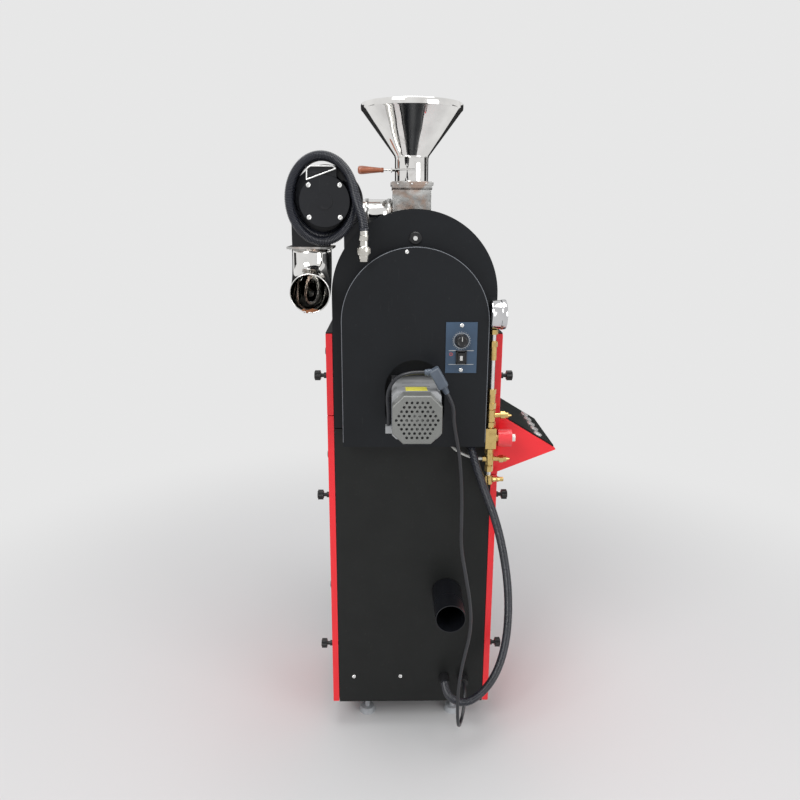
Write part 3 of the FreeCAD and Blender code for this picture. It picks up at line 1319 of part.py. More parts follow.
def trier():
    """Sampling scoop: a half-round trough on a rod, with a turned grip outside."""
    middle = ("-trier_x", "trier_z")
    solid_rod = rod("Y", middle, "trier_radius", ("head_start + 8", "body_depth + 22"))
    trough = rod("Y", middle, "trier_radius - 1.5", ("head_start + 10", "front_inner - 8"))
    open_top = box(("-trier_x - trier_radius", "trier_radius - trier_x"),
                   ("head_start + 7", "front_inner - 6"), ("trier_z", "trier_z + trier_radius + 1"))
    neck = cone("Y", middle, ("7", "9"), ("body_depth + 22", "body_depth + 34"))
    grip = cone("Y", middle, ("9", "12"), ("body_depth + 34", "body_depth + 80"))
    knob = doc.addObject("Part::Sphere", "knob_end")
    bind(knob, Radius="12")
    place(knob, "-trier_x", "body_depth + 80", "trier_z")
    finish(fuse(cut(solid_rod, trough, open_top), neck, grip, knob), "trier")


def sight_glass():
    glass = rod("Y", ("sight_x", "sight_z"), "sight_radius", ("body_depth + part_gap", "body_depth + 5"))
    finish(glass, "sight_glass", x="sight_x", y="body_depth + part_gap", z="sight_z")


def cooling_tray():
    """Round tray with a floor under its screen, an air duct to the cabinet and the stirrer's drive."""
    middle = ("0", "tray_y")
    wall = pipe("Z", middle, "tray_radius", "tray_wall", ("tray_bottom", "tray_top"))
    rim = pipe("Z", middle, "tray_radius + 4", "4", ("tray_top - 6", "tray_top"))
    floor = rod("Z", middle, "tray_radius - tray_wall / 2", ("tray_bottom", "tray_bottom + 2"))
    ledge = pipe("Z", middle, "tray_radius - tray_wall / 2", "6", ("screen_z - 3", "screen_z"))
    duct_ys = ("front_inner + cover_sheet", "tray_y - 40")
    duct = box(("-50", "50"), duct_ys, ("tray_bottom - 60", "tray_bottom"))
    duct_hollow = box(("-50 + tray_wall", "50 - tray_wall"), (duct_ys[0], "tray_y - 40 - tray_wall"),
                      ("tray_bottom - 60 + tray_wall", "tray_bottom - tray_wall"))
    floor_hole = box(("-46", "46"), ("tray_y - tray_radius + 30", "tray_y - 44"),
                     ("tray_bottom - 6", "tray_bottom + 4"))
    drive = box(("-30", "30"), ("tray_y - 32", "tray_y + 32"), ("tray_bottom - 70", "tray_bottom"))
    shaft_hole = rod("Z", middle, "stir_radius + 0.05", ("tray_bottom - 40", "tray_bottom + 3"))
    ramp = box(("-gate_width / 2 - 2", "gate_width / 2 + 2"),
               ("tray_y + tray_radius - 8", "tray_y + tray_radius + 15"), ("screen_z - 4", "screen_z"))
    opening = box(("-gate_width / 2", "gate_width / 2"),
                  ("tray_y + tray_radius - 24", "tray_y + tray_radius + 20"),
                  ("screen_z", "screen_z + gate_rise"))
    whole = fuse(wall, rim, floor, ledge, cut(duct, duct_hollow), drive, ramp)
    bead_gap = common(
        pipe("Z", middle, "tray_radius + 5", "5", ("tray_top - 7", "tray_top + 1")),
        box(("-gate_width / 2 - 8", "gate_width / 2 + 8"), ("tray_y", "tray_y + tray_radius + 6"),
            ("tray_top - 7", "tray_top + 1")))
    finish(cut(whole, floor_hole, shaft_hole, opening, bead_gap), "cooling_tray")


def tray_screen():
    """Perforated screen: one round face with rings of holes, given its thickness."""
    centre = spot("0", "tray_y", "screen_z")
    up = FreeCAD.Vector(0, 0, 1)
    radius = value("tray_radius - tray_wall - part_gap")
    wires = [Part.Wire([Part.makeCircle(radius, centre, up)])]
    wires.append(Part.Wire([Part.makeCircle(value("stir_radius") + 2, centre, up)]))
    for ring in range(1, 9):
        around = 6 * ring
        reach = 8 + ring * (radius - 16) / 8.4
        for step in range(around):
            angle = 2 * math.pi * (step + 0.5 * (ring % 2)) / around
            hole = centre + FreeCAD.Vector(reach * math.cos(angle), reach * math.sin(angle), 0)
            wires.append(Part.Wire([Part.makeCircle(2.6, hole, up)]))
    face = Part.Face(wires)
    face.validate()
    shaped("tray_screen", face.extrude(FreeCAD.Vector(0, 0, value("screen_thick"))))


def stirring_arm():
    """Shaft up through the tray with a cap, and three arms with slanted paddles."""
    middle = ("0", "tray_y")
    shaft = rod("Z", middle, "stir_radius", ("tray_bottom - 36", "screen_z + 46"))
    cap = rod("Z", middle, "stir_radius + 8", ("screen_z + 30", "screen_z + 50"))
    pieces = [shaft, cap]
    for number in range(3):
        arm = box(("4", "tray_radius - 22"), ("-3", "3"), ("32", "38"))
        paddle = box(("tray_radius * 0.35", "tray_radius - 14"), ("-1.5", "1.5"), ("4", "34"))
        carrier = doc.addObject("Part::Compound", "carrier")
        carrier.Links = [fuse(arm, paddle)]
        carrier.Placement = FreeCAD.Placement(
            FreeCAD.Vector(), FreeCAD.Rotation(FreeCAD.Vector(0, 0, 1), 120 * number + 20))
        pieces.append(place(carrier, "0", "tray_y", "screen_z"))
    finish(fuse(*pieces), "stirring_arm")


def tray_gate():
    """Curved gate in front of the tray's outlet, which lifts by its knob."""
    middle = ("0", "tray_y")
    shell = pipe("Z", middle, "tray_radius + 2.3", "2", ("screen_z + part_gap", "screen_z + gate_rise + 4"))
    front = box(("-gate_width / 2 - 6", "gate_width / 2 + 6"),
                ("tray_y + 40", "tray_y + tray_radius + 6"), ("screen_z", "screen_z + gate_rise + 4"))
    knob = rod("Y", ("0", "screen_z + gate_rise * 0.5"), "7",
               ("tray_y + tray_radius + 1", "tray_y + tray_radius + 16"))
    finish(fuse(common(shell, front), knob), "tray_gate")


def cooling_fan():
    """Scroll of the cooling fan in the cabinet, with the duct that leaves through the rear panel."""
    along_x = ("fan_x - fan_width / 2", "fan_x + fan_width / 2")
    middle_y = "30 + fan_scroll"
    middle = (middle_y, "fan_z + fan_duct - fan_scroll")
    scroll = rod("X", middle, "fan_scroll", along_x)
    hollow = rod("X", middle, "fan_scroll - blower_wall",
                 (f"{along_x[0]} + blower_wall", f"{along_x[1]} - blower_wall"))
    outlet = box(along_x, ("20", middle_y), ("fan_z - fan_duct", "fan_z + fan_duct"))
    throat = box((f"{along_x[0]} + blower_wall", f"{along_x[1]} - blower_wall"),
                 ("20 + blower_wall", middle_y), ("fan_z - fan_duct + blower_wall",
                                                  "fan_z + fan_duct - blower_wall"))
    seat = rod("Y", ("fan_x", "fan_z"), "fan_duct", ("-fan_reach", "hose_seat + 1 - fan_reach"))
    stub = rod("Y", ("fan_x", "fan_z"), "fan_duct + seat_step", ("hose_seat - fan_reach", "20"))
    bead = rod("Y", ("fan_x", "fan_z"), "fan_duct + 3 * seat_step",
               ("hose_seat - fan_reach", "hose_seat + stop_bead - fan_reach"))
    bore = rod("Y", ("fan_x", "fan_z"), "fan_duct - 2", ("-fan_reach", "24"))
    eye = rod("X", middle, "34", (f"{along_x[0]} - 1", f"{along_x[0]} + blower_wall + 1"))
    motor = rod("X", middle, "32", (along_x[1], f"{along_x[1]} + 26"))
    stand = box(along_x, (f"{middle_y} - 30", f"{middle_y} + 30"),
                ("frame_bottom", "fan_z + fan_duct - 2 * fan_scroll + 8"))
    shaft = rod("X", middle, "4", (f"{along_x[1]} - 40", along_x[1]))
    shell = cut(fuse(scroll, outlet, seat, stub, bead, stand), hollow, throat, bore, eye)
    finish(fuse(shell, motor, shaft), "cooling_fan")


def cooling_impeller():
    middle = ("30 + fan_scroll", "fan_z + fan_duct - fan_scroll")
    end = "fan_x + fan_width / 2 - blower_wall - 6"
    plate = rod("X", middle, "60", (f"{end} - 2", end))
    hub = rod("X", middle, "12", (f"{end} - 18", end))
    ring = pipe("X", middle, "60", "10", (f"{end} - 40", f"{end} - 2"))
    bore = rod("X", middle, "4.05", (f"{end} - 40", end))
    finish(cut(fuse(plate, hub, ring), bore), "cooling_impeller")


def control_box():
    """Triangular box on the right side, with the back plate that closes the side behind it."""
    body = new_body("control_box_body")
    profile = new_sketch(body, offset="-box_start - box_length")
    triangle(profile, "0")
    pad(body, profile, "box_length")
    round_edges(body, value("tip_round"), along((0, 1, 0)))
    inside = new_sketch(body, offset="-box_start - box_length + box_sheet")
    triangle(inside, "box_sheet")
    pocket(body, inside, "box_length - 2 * box_sheet", backwards=True)
    plate = box(("side - cover_depth", "side"), ("0", "body_depth"), ("box_bottom", "box_top"))
    hollow = box(("side - cover_depth", "side - cover_sheet"), ("cover_sheet", "body_depth - cover_sheet"),
                 ("box_bottom + cover_sheet", "box_top - cover_sheet"))
    window = face_block("face_margin + 4", "-box_sheet - 14", "2")
    finish(cut(fuse(body, cut(plate, hollow)), window), "control_box")


def triangle(sketch, inset):
    """Side profile of the control box, drawn inside its sheet by an inset."""
    outline(sketch, (
        ("side", f"box_bottom + 2.2 * ({inset})"),
        (f"box_tip_x - 3.2 * ({inset})", f"box_tip_z - 0.1 * ({inset})"),
        ("side", f"box_top - 1.5 * ({inset})"),
    ))


def on_slope(thing, share, y, lift="0"):
    """Stand a thing made along Z square on the box's sloping face, part of the way down."""
    angle = math.degrees(math.atan2(value("box_drop"), value("box_run")))
    thing.Placement = FreeCAD.Placement(
        FreeCAD.Vector(), FreeCAD.Rotation(FreeCAD.Vector(0, 1, 0), angle))
    bind(thing, Placement__Rotation__Angle="atan2(box_drop; box_run)")
    x = f"side + box_run * ({share}) + box_drop / slope * ({lift})"
    z = f"box_top - box_drop * ({share}) + box_run / slope * ({lift})"
    return place(thing, x, y, z)


def face_block(margin, low, high):
    """Block on the sloping face, inside a margin, between two heights above it."""
    block = doc.addObject("Part::Box", "face_block")
    bind(block, Length=f"slope - 2 * ({margin})", Width=f"box_length - 2 * ({margin})",
         Height=f"({high}) - ({low})")
    return on_slope(block, f"({margin}) / slope", f"box_start + ({margin})", low)


def button_seat(number, radius, low, high):
    """Cylinder on the slope at one button's place."""
    seat = doc.addObject("Part::Cylinder", "button_seat")
    bind(seat, Radius=radius, Height=f"({high}) - ({low})")
    return on_slope(seat, "button_share", f"button_start + {number} * button_pitch", low)


def control_face():
    """Dark panel on the slope, with the display windows' recess and the button holes."""
    panel = face_block("face_margin", "0", "face_thick")
    holes = [button_seat(number, "button_radius + part_gap", "-1", "face_thick + 1")
             for number in range(5)]
    finish(cut(panel, *holes), "control_face")


def buttons():
    """Five push buttons in a row, each standing out of the panel by more than its travel."""
    for number in range(5):
        stem = button_seat(number, "button_radius * 0.6", "-9", "0.5")
        top = button_seat(number, "button_radius", "0.4 + button_travel - face_thick + 0.6",
                          "face_thick + button_height")
        finish(fuse(top, stem), f"button_{number + 1}")


def cable_glands():
    """Two glands in the rear panel, each a nut, a dome and the thread through the sheet."""
    solids = []
    for x in ("gland_left", "gland_right"):
        middle = (x, "gland_z")
        nut = hexagon("Y", middle, "gland_radius", ("-gland_length * 0.5", "0"))
        dome = cone("Y", middle, ("gland_radius * 0.86", "gland_radius * 0.95"),
                    ("-gland_length", "-gland_length * 0.5"))
        thread = rod("Y", middle, "gland_radius * 0.6", ("-1", "cover_sheet + 6"))
        lock = hexagon("Y", middle, "gland_radius * 0.95", ("cover_sheet", "cover_sheet + 5"))
        solids.append(fuse(nut, dome, thread, lock))
    finish(group(solids), "cable_glands")


def panel_screws():
    """Pan-head screws that show from behind: panel, plate, cover, controller and blower motor."""
    solids = []
    heads = [
        ("-128", "0", "134", "4.5"),
        ("-24", "0", "134", "4.5"),
        ("0", "0", "drive_arch + drive_half + 14", "6"),
        ("-17", "-drive_reach", "drive_arch + drive_half - 9", "4"),
        ("control_x", "-control_face_y", "control_z + control_height / 2 - 6", "4.2"),
        ("control_x", "-control_face_y", "control_z - control_height / 2 + 6", "4.2"),
    ]
    reach = "fan_motor_radius * 0.62"
    for across in ("-", ""):
        for up in ("-", ""):
            heads.append((f"-blower_x + ({across}{reach})", "blower_rear - fan_motor_length",
                          f"blower_z + ({up}{reach})", "4.6"))
    for x, y, z, radius in heads:
        disc = cone("Y", (x, z), (f"({radius}) * 0.7", radius), (f"({y}) - 3", f"({y}) - 1"))
        base = rod("Y", (x, z), radius, (f"({y}) - 1", y))
        solids.append(fuse(disc, base))
    finish(group(solids), "panel_screws")


def rounded_path(points):
    """Straight runs joined by tangent arcs as large as their two runs allow, and the arcs' radii."""
    edges = []
    radii = []
    at = points[0]
    for before, corner, after in zip(points, points[1:], points[2:]):
        back = (before - corner).normalize()
        onward = (after - corner).normalize()
        half_turn = (math.pi - back.getAngle(onward)) / 2
        shorter = min(before.distanceToPoint(corner), corner.distanceToPoint(after))
        reach = 0.45 * shorter
        radius = reach / math.tan(half_turn)
        radii.append(radius)
        start = corner + back * reach
        end = corner + onward * reach
        inward = (back + onward).normalize()
        middle = corner + inward * (radius / math.cos(half_turn) - radius)
        edges.append(Part.LineSegment(at, start).toShape())
        edges.append(Part.Arc(start, middle, end).toShape())
        at = end
    edges.append(Part.LineSegment(at, points[-1]).toShape())
    return Part.Wire(edges), radii


def tube_along(name, points, radius):
    """Round tube along a route, checked against its section times its length."""
    points = [FreeCAD.Vector(*point) for point in points]
    path, radii = rounded_path(points)
    section = Part.Wire([Part.makeCircle(radius, points[0], points[1] - points[0])])
    tube = path.makePipeShell([section], True, False)
    expected = math.pi * radius * radius * path.Length
    print(f"{name}: length {path.Length:.0f}, least bend {min(radii):.1f},"
          f" volume share {tube.Volume / expected:.4f}, radii {[round(one) for one in radii]}")
    return tube


def power_conduit():
    """Thick conduit from the speed controller's box down to the left gland."""
    top = value("control_z - control_height / 2 + 5")
    points = (
        (100, -24, top),
        (100, -24, 802),
        (103, -23, 755),
        (109, -23, 710),
        (121, -46, 660),
        (139, -57, 610),
        (160, -60, 556),
        (177, -58, 500),
        (190, -56, 440),
        (198, -57, 385),
        (201, -60, 330),
        (199, -64, 275),
        (190, -68, 222),
        (173, -73, 178),
        (147, -80, 146),
        (117, -84, 127),
        (91, -76, 126),
        (value("gland_left"), -54, value("gland_z")),
        (value("gland_left"), -value("gland_length"), value("gland_z")),
    )
    shaped("power_conduit", tube_along("power_conduit", points, value("conduit_radius")))


MOTOR_Z = value("motor_height")
PLUG_MIDDLE = (40.0, -120.0, MOTOR_Z + 67)
PLUG_LEAN = 30.0
PLUG_LENGTH = 40.0
STUB_END = (14.0, -120.0, MOTOR_Z + 77.5)
LEAD_START = (-51.0, -100.0, MOTOR_Z - 29)
RELIEF_LENGTH = 14.0


def on_plug(distance):
    """Point on the plug's axis, measured downwards from its middle."""
    lean = math.radians(PLUG_LEAN)
    x, y, z = PLUG_MIDDLE
    return (x + distance * math.sin(lean), y, z - distance * math.cos(lean))


def motor_cable():
    """Supply cable from the right gland up to the plug, and the motor's own lead round the motor."""
    supply = (
        (value("gland_right"), -value("gland_length"), value("gland_z")),
        (value("gland_right"), -46, value("gland_z")),
        (114, -66, 108),
        (107, -82, 87),
        (99, -107, 88),
        (94, -124, 108),
        (92, -126, 142),
        (93, -119, 184),
        (99, -110, 226),
        (106, -108, 262),
        (113, -112, 302),
        (115, -118, 346),
        (111, -118, 394),
        (101, -110, 450),
        (92, -99, 502),
        (93, -90, 555),
        (93, -85, 603),
        (90, -84, 650),
        (85, -88, 692),
        (78, -96, MOTOR_Z - 54),
        (71, -106, MOTOR_Z - 19),
        on_plug(PLUG_LENGTH / 2 + RELIEF_LENGTH + 24),
        on_plug(PLUG_LENGTH / 2 + RELIEF_LENGTH),
    )
    lead = (
        (LEAD_START[0], LEAD_START[1], LEAD_START[2]),
        (LEAD_START[0], LEAD_START[1], MOTOR_Z - 1),
        (-54, -103, MOTOR_Z + 25),
        (-49, -108, MOTOR_Z + 49),
        (-35, -114, MOTOR_Z + 68),
        (STUB_END[0] - 26, STUB_END[1], STUB_END[2]),
        STUB_END,
    )
    radius = value("lead_radius")
    tubes = [tube_along("motor_cable", supply, radius), tube_along("motor_lead", lead, radius)]
    shaped("motor_cable", Part.makeCompound(tubes))


def motor_plug():
    """Plug and socket joined in one leaning block over the motor's corner, with its strain relief."""
    block = Part.makeBox(20, 22, PLUG_LENGTH, FreeCAD.Vector(-9, -11, -PLUG_LENGTH / 2))
    block = block.makeFillet(3, [edge for edge in block.Edges if along((0, 0, 1))(edge)])
    relief = Part.makeCone(6.5, 4.5, RELIEF_LENGTH, FreeCAD.Vector(0, 0, -PLUG_LENGTH / 2),
                           FreeCAD.Vector(0, 0, -1))
    ridge = Part.makeBox(23, 25, 5, FreeCAD.Vector(-10.5, -12.5, 2))
    whole = block.fuse([relief, ridge])
    whole.rotate(FreeCAD.Vector(), FreeCAD.Vector(0, 1, 0), -PLUG_LEAN)
    whole.translate(FreeCAD.Vector(*PLUG_MIDDLE))
    stub = Part.makeCylinder(6.5, PLUG_MIDDLE[0] - STUB_END[0] - 5, FreeCAD.Vector(*STUB_END),
                             FreeCAD.Vector(1, 0, 0))
    shaped("motor_plug", whole.fuse(stub))


def gas_tube():
    """Thin tube from the lower tee through the rear panel and up to the burner."""
    height = value("axis_height - casing_radius - 24")
    hole_x = value("tube_x")
    points = (
        (value("gas_x - 14"), -value("gas_y"), value("tee_low")),
        (124, -value("gas_y"), value("tee_low")),
        (108, -25, 665),
        (93, -21, 671),
        (82, -13, 677),
        (hole_x, 2, value("tube_z")),
        (hole_x - 3, 20, 692),
        (72, 35, 710),
        (71, 45, 736),
        (62, 49, 764),
        (44, 49, 790),
        (44, 49, height - 14),
    )
    shaped("gas_tube", tube_along("gas_tube", points, value("tube_radius")))


HOSE_START = (-131.0, -27.0, 1198.0)
HOSE_TURNS = 2
HOSE_PITCH = 18.2
HOSE_CENTRE = (-171.0, 1168.0)
HOSE_REACH = (57.3, 71.0)
HOSE_GROWTH = (2.4, 4.6)
HOSE_DROP = 4.0
CONNECTOR_TOP = (-96.0, -60.0, 1108.0)
CONNECTOR_LENGTH = 56.0


def hose_point(angle):
    """Place and heading on the oval loops; the angle is clockwise from the top, from behind."""
    turns = (angle - 90) / 360
    turn = math.radians(angle)
    across = HOSE_REACH[0] + HOSE_GROWTH[0] * turns
    up = HOSE_REACH[1] + HOSE_GROWTH[1] * turns
    place_at = FreeCAD.Vector(
        HOSE_CENTRE[0] + across * math.sin(turn),
        HOSE_START[1] - HOSE_PITCH * turns,
        HOSE_CENTRE[1] - HOSE_DROP * turns + up * math.cos(turn),
    )
    heading = FreeCAD.Vector(
        across * math.cos(turn), -HOSE_PITCH / (2 * math.pi), -up * math.sin(turn),
    ).normalize()
    return place_at, heading


def arc_leaving(start, heading, end):
    """Edge from start, leaving along the heading, to end: an arc, or a line where it is straight."""
    chord = end - start
    normal = heading.cross(chord)
    if normal.Length < 1e-6 * chord.Length:
        return Part.LineSegment(start, end).toShape()
    side = normal.cross(heading).normalize()
    radius = chord.dot(chord) / (2 * chord.dot(side))
    centre = start + side * radius
    outward = ((start - centre) + (end - centre)).normalize()
    return Part.Arc(start, centre + outward * radius, end).toShape()


def biarc(start, leave, end, arrive):
    """Two tangent arcs between two places with given headings."""
    span = end - start
    both = leave + arrive
    bend = 2 * (1 - leave.dot(arrive))
    if bend < 1e-9:
        reach = span.dot(span) / (2 * span.dot(both)) if span.dot(both) else span.Length / 2
    else:
        along_both = span.dot(both)
        reach = (-along_both + math.sqrt(along_both * along_both + bend * span.dot(span))) / bend
    joint = (start + end + (leave - arrive) * reach) * 0.5
    second = arc_leaving(end, arrive * -1, joint)
    return [arc_leaving(start, leave, joint), second]


def blower_conduit():
    """Conduit from the terminal box's gland, wound round the blower motor, to its connector."""
    slant = FreeCAD.Vector(1, 0, -1).normalize()
    diameter = 2 * value("hose_radius")
    start = FreeCAD.Vector(*HOSE_START)
    stations = [(start, slant), (start + slant * diameter * 0.72, slant)]
    stations += [hose_point(90 + 90 * quarter) for quarter in range(4 * HOSE_TURNS + 1)]
    down = FreeCAD.Vector(0, 0, -1)
    end = FreeCAD.Vector(*CONNECTOR_TOP)
    stations += [(end - down * diameter, down), (end, down)]
    edges = [Part.LineSegment(stations[0][0], stations[1][0]).toShape()]
    for (here, leave), (there, arrive) in zip(stations[1:-2], stations[2:-1]):
        edges += biarc(here, leave, there, arrive)
    edges.append(Part.LineSegment(stations[-2][0], stations[-1][0]).toShape())
    path = Part.Wire(Part.__sortEdges__(edges))
    section = Part.Wire([Part.makeCircle(value("hose_radius"), start, slant)])
    tube = path.makePipeShell([section], True, False)
    print(f"blower_conduit: length {path.Length:.0f}, volume share"
          f" {tube.Volume / (math.pi * value('hose_radius') ** 2 * path.Length):.4f},"
          f" least gap to itself {least_gap(path, value('hose_radius')):.2f}")
    shaped("blower_conduit", tube)


def least_gap(path, radius):
    """Least distance between stretches of one tube, measured between points of its middle line."""
    step = 3.0
    points = path.discretize(Distance=step)
    apart = int(8 * radius / step)
    least = min(points[first].distanceToPoint(points[second])
                for first in range(0, len(points))
                for second in range(first + apart, len(points)))
    return least - 2 * radius


def blower_connector():
    """Round connector at the end of the blower conduit, with its grip rings."""
    body = new_body("connector_body")
    length = str(CONNECTOR_LENGTH)
    outline(new_sketch(body, "XZ_Plane"), (
        ("0", "0"),
        ("hose_radius - 1.5", "0"),
        ("hose_radius + 0.5", "-5"),
        ("hose_radius + 0.5", "-10"),
        ("hose_radius + 2.5", "-12"),
        ("hose_radius + 2.5", "-24"),
        ("hose_radius + 0.5", "-26"),
        ("hose_radius + 0.5", "-36"),
        ("hose_radius + 3.5", "-38"),
        ("hose_radius + 3.5", "-48"),
        ("hose_radius", "-49"),
        ("hose_radius", f"-{length}"),
        ("0", f"-{length}"),
    )[::-1])
    revolve(body, body.Group[0])
    x, y, z = CONNECTOR_TOP
    finish(body, "blower_connector", str(x), str(y), str(z))


def check_and_write():
    """Stop on any failed object, then write each sub-part's shape under its label."""
    doc.recompute()
    for thing in doc.Objects:
        if "Invalid" in thing.State or "Error" in thing.State:
            raise RuntimeError(f"{thing.Name} ({thing.Label}) failed: {thing.State}")
    os.makedirs("parts", exist_ok=True)
    total = FreeCAD.BoundBox()
    wrong = []
    for thing in FINISHED:
        if thing.Shape.isNull() or not thing.Shape.isValid() or not thing.Shape.Solids:
            wrong.append(thing.Label)
            continue
        total.add(thing.Shape.BoundBox)
        thing.Shape.exportStep(f"parts/{thing.Label}.step")
    if wrong:
        raise RuntimeError(f"no valid solid in {wrong}")
    print(f"{len(FINISHED)} sub-parts, box {total}")


for build in (
    base_frame, feet, rear_plate, rear_panel, front_plate, front_panel, covers, cover_knobs,
    drum_casing, drive_cover, drum, sprockets, drive_chain, drum_bearings, gear_motor,
    motor_fan_cap, speed_controller, speed_knob, speed_switch, burner, gas_train, solenoid_coil,
    gas_gauge, gas_tube, hopper, hopper_gate, gate_handle, hopper_chute, exhaust_duct,
    blower_housing, blower_motor, blower_impeller, outlet_elbow, discharge_door, trier,
    sight_glass, cooling_tray, tray_screen, stirring_arm, tray_gate, cooling_fan,
    cooling_impeller, control_box, control_face, buttons, cable_glands, panel_screws,
    power_conduit, motor_cable, motor_plug, blower_conduit, blower_connector,
):
    build()
check_and_write()
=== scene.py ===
"""Home coffee bean roaster seen from its drive side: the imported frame, dressed piece by piece."""
from __future__ import annotations

import json
import logging
import math
from dataclasses import dataclass
from enum import Enum
from typing import Callable, Sequence

import bmesh
import bpy
from mathutils import Matrix, Vector

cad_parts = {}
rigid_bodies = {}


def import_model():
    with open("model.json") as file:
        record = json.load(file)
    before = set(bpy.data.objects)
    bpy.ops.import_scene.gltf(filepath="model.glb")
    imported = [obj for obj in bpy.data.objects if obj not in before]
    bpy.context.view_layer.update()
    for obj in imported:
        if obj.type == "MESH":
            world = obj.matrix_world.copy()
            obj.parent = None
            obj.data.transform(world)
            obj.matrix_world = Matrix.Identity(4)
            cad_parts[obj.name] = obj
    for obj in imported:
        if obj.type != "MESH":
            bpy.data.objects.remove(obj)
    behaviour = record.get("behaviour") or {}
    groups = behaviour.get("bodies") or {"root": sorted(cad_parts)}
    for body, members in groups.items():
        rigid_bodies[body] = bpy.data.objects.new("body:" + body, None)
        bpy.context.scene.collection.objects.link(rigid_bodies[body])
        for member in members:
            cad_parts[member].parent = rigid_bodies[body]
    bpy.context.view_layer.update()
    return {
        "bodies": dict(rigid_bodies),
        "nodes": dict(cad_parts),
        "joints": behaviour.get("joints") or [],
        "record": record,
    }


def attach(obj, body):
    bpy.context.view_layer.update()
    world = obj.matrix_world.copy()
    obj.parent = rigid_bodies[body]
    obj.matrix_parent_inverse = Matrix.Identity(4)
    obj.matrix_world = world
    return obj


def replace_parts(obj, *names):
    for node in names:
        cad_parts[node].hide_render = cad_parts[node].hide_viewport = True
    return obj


LOG = logging.getLogger("roaster")
Point = tuple[float, float, float]
Colour = tuple[float, float, float]
PER_METRE = 1000
COAT_ROUGHNESS = 0.12
ON_AXIS = 1e-6

# The machine's own zero, in millimetres of the shared frame: the middle of the
# body, on the rear face of its plates, at floor level.
DATUM = Vector((-27.089, -216.5, 0.0))


def metres(x: float, y: float, z: float) -> Vector:
    """Vector in metres from millimetres, for a shape about its own zero."""
    return Vector((x, y, z)) / PER_METRE


def at(x: float, y: float, z: float) -> Vector:
    """Point of the shared frame, in metres, from the machine's own millimetres."""
    return (Vector((x, y, z)) + DATUM) / PER_METRE


class Axis(Enum):
    """Direction that a turned piece points to."""

    RIGHT = Vector((1, 0, 0))
    LEFT = Vector((-1, 0, 0))
    FRONT = Vector((0, 1, 0))
    REAR = Vector((0, -1, 0))
    UP = Vector((0, 0, 1))
    DOWN = Vector((0, 0, -1))


class Value:
    """A shader number, with Python's operators for Math nodes."""

    def __init__(self, graph: "Graph", socket: bpy.types.NodeSocket) -> None:
        """Wrap one output socket of a graph."""
        self.graph = graph
        self.socket = socket

    def _math(self, operation: str, first: object, second: object) -> "Value":
        """Result of one Math node on two numbers or sockets."""
        node = self.graph.node("ShaderNodeMath", {"operation": operation}, {0: first, 1: second})
        return Value(self.graph, node.outputs[0])

    def __add__(self, other: object) -> "Value":
        """Sum."""
        return self._math("ADD", self, other)

    __radd__ = __add__

    def __mul__(self, other: object) -> "Value":
        """Product."""
        return self._math("MULTIPLY", self, other)

    __rmul__ = __mul__

    def __sub__(self, other: object) -> "Value":
        """Difference."""
        return self._math("SUBTRACT", self, other)

    def __rsub__(self, other: object) -> "Value":
        """Difference, the other way round."""
        return self._math("SUBTRACT", other, self)

    def __gt__(self, other: object) -> "Value":
        """One where this number is the larger."""
        return self._math("GREATER_THAN", self, other)

    def __lt__(self, other: object) -> "Value":
        """One where this number is the smaller."""
        return self._math("LESS_THAN", self, other)

    def sine(self) -> "Value":
        """Sine of this number."""
        return self._math("SINE", self, 0.0)

    def steps(self, low: float, high: float) -> "Value":
        """Smooth rise from 0 at one value of this number to 1 at another.

        Args:
            low: where the rise starts.
            high: where it ends.

        Returns:
            A number from 0 to 1.
        """
        node = self.graph.node("ShaderNodeMapRange", {"interpolation_type": "SMOOTHSTEP"},
                               {0: self, 1: low, 2: high, 3: 0.0, 4: 1.0})
        return Value(self.graph, node.outputs[0])


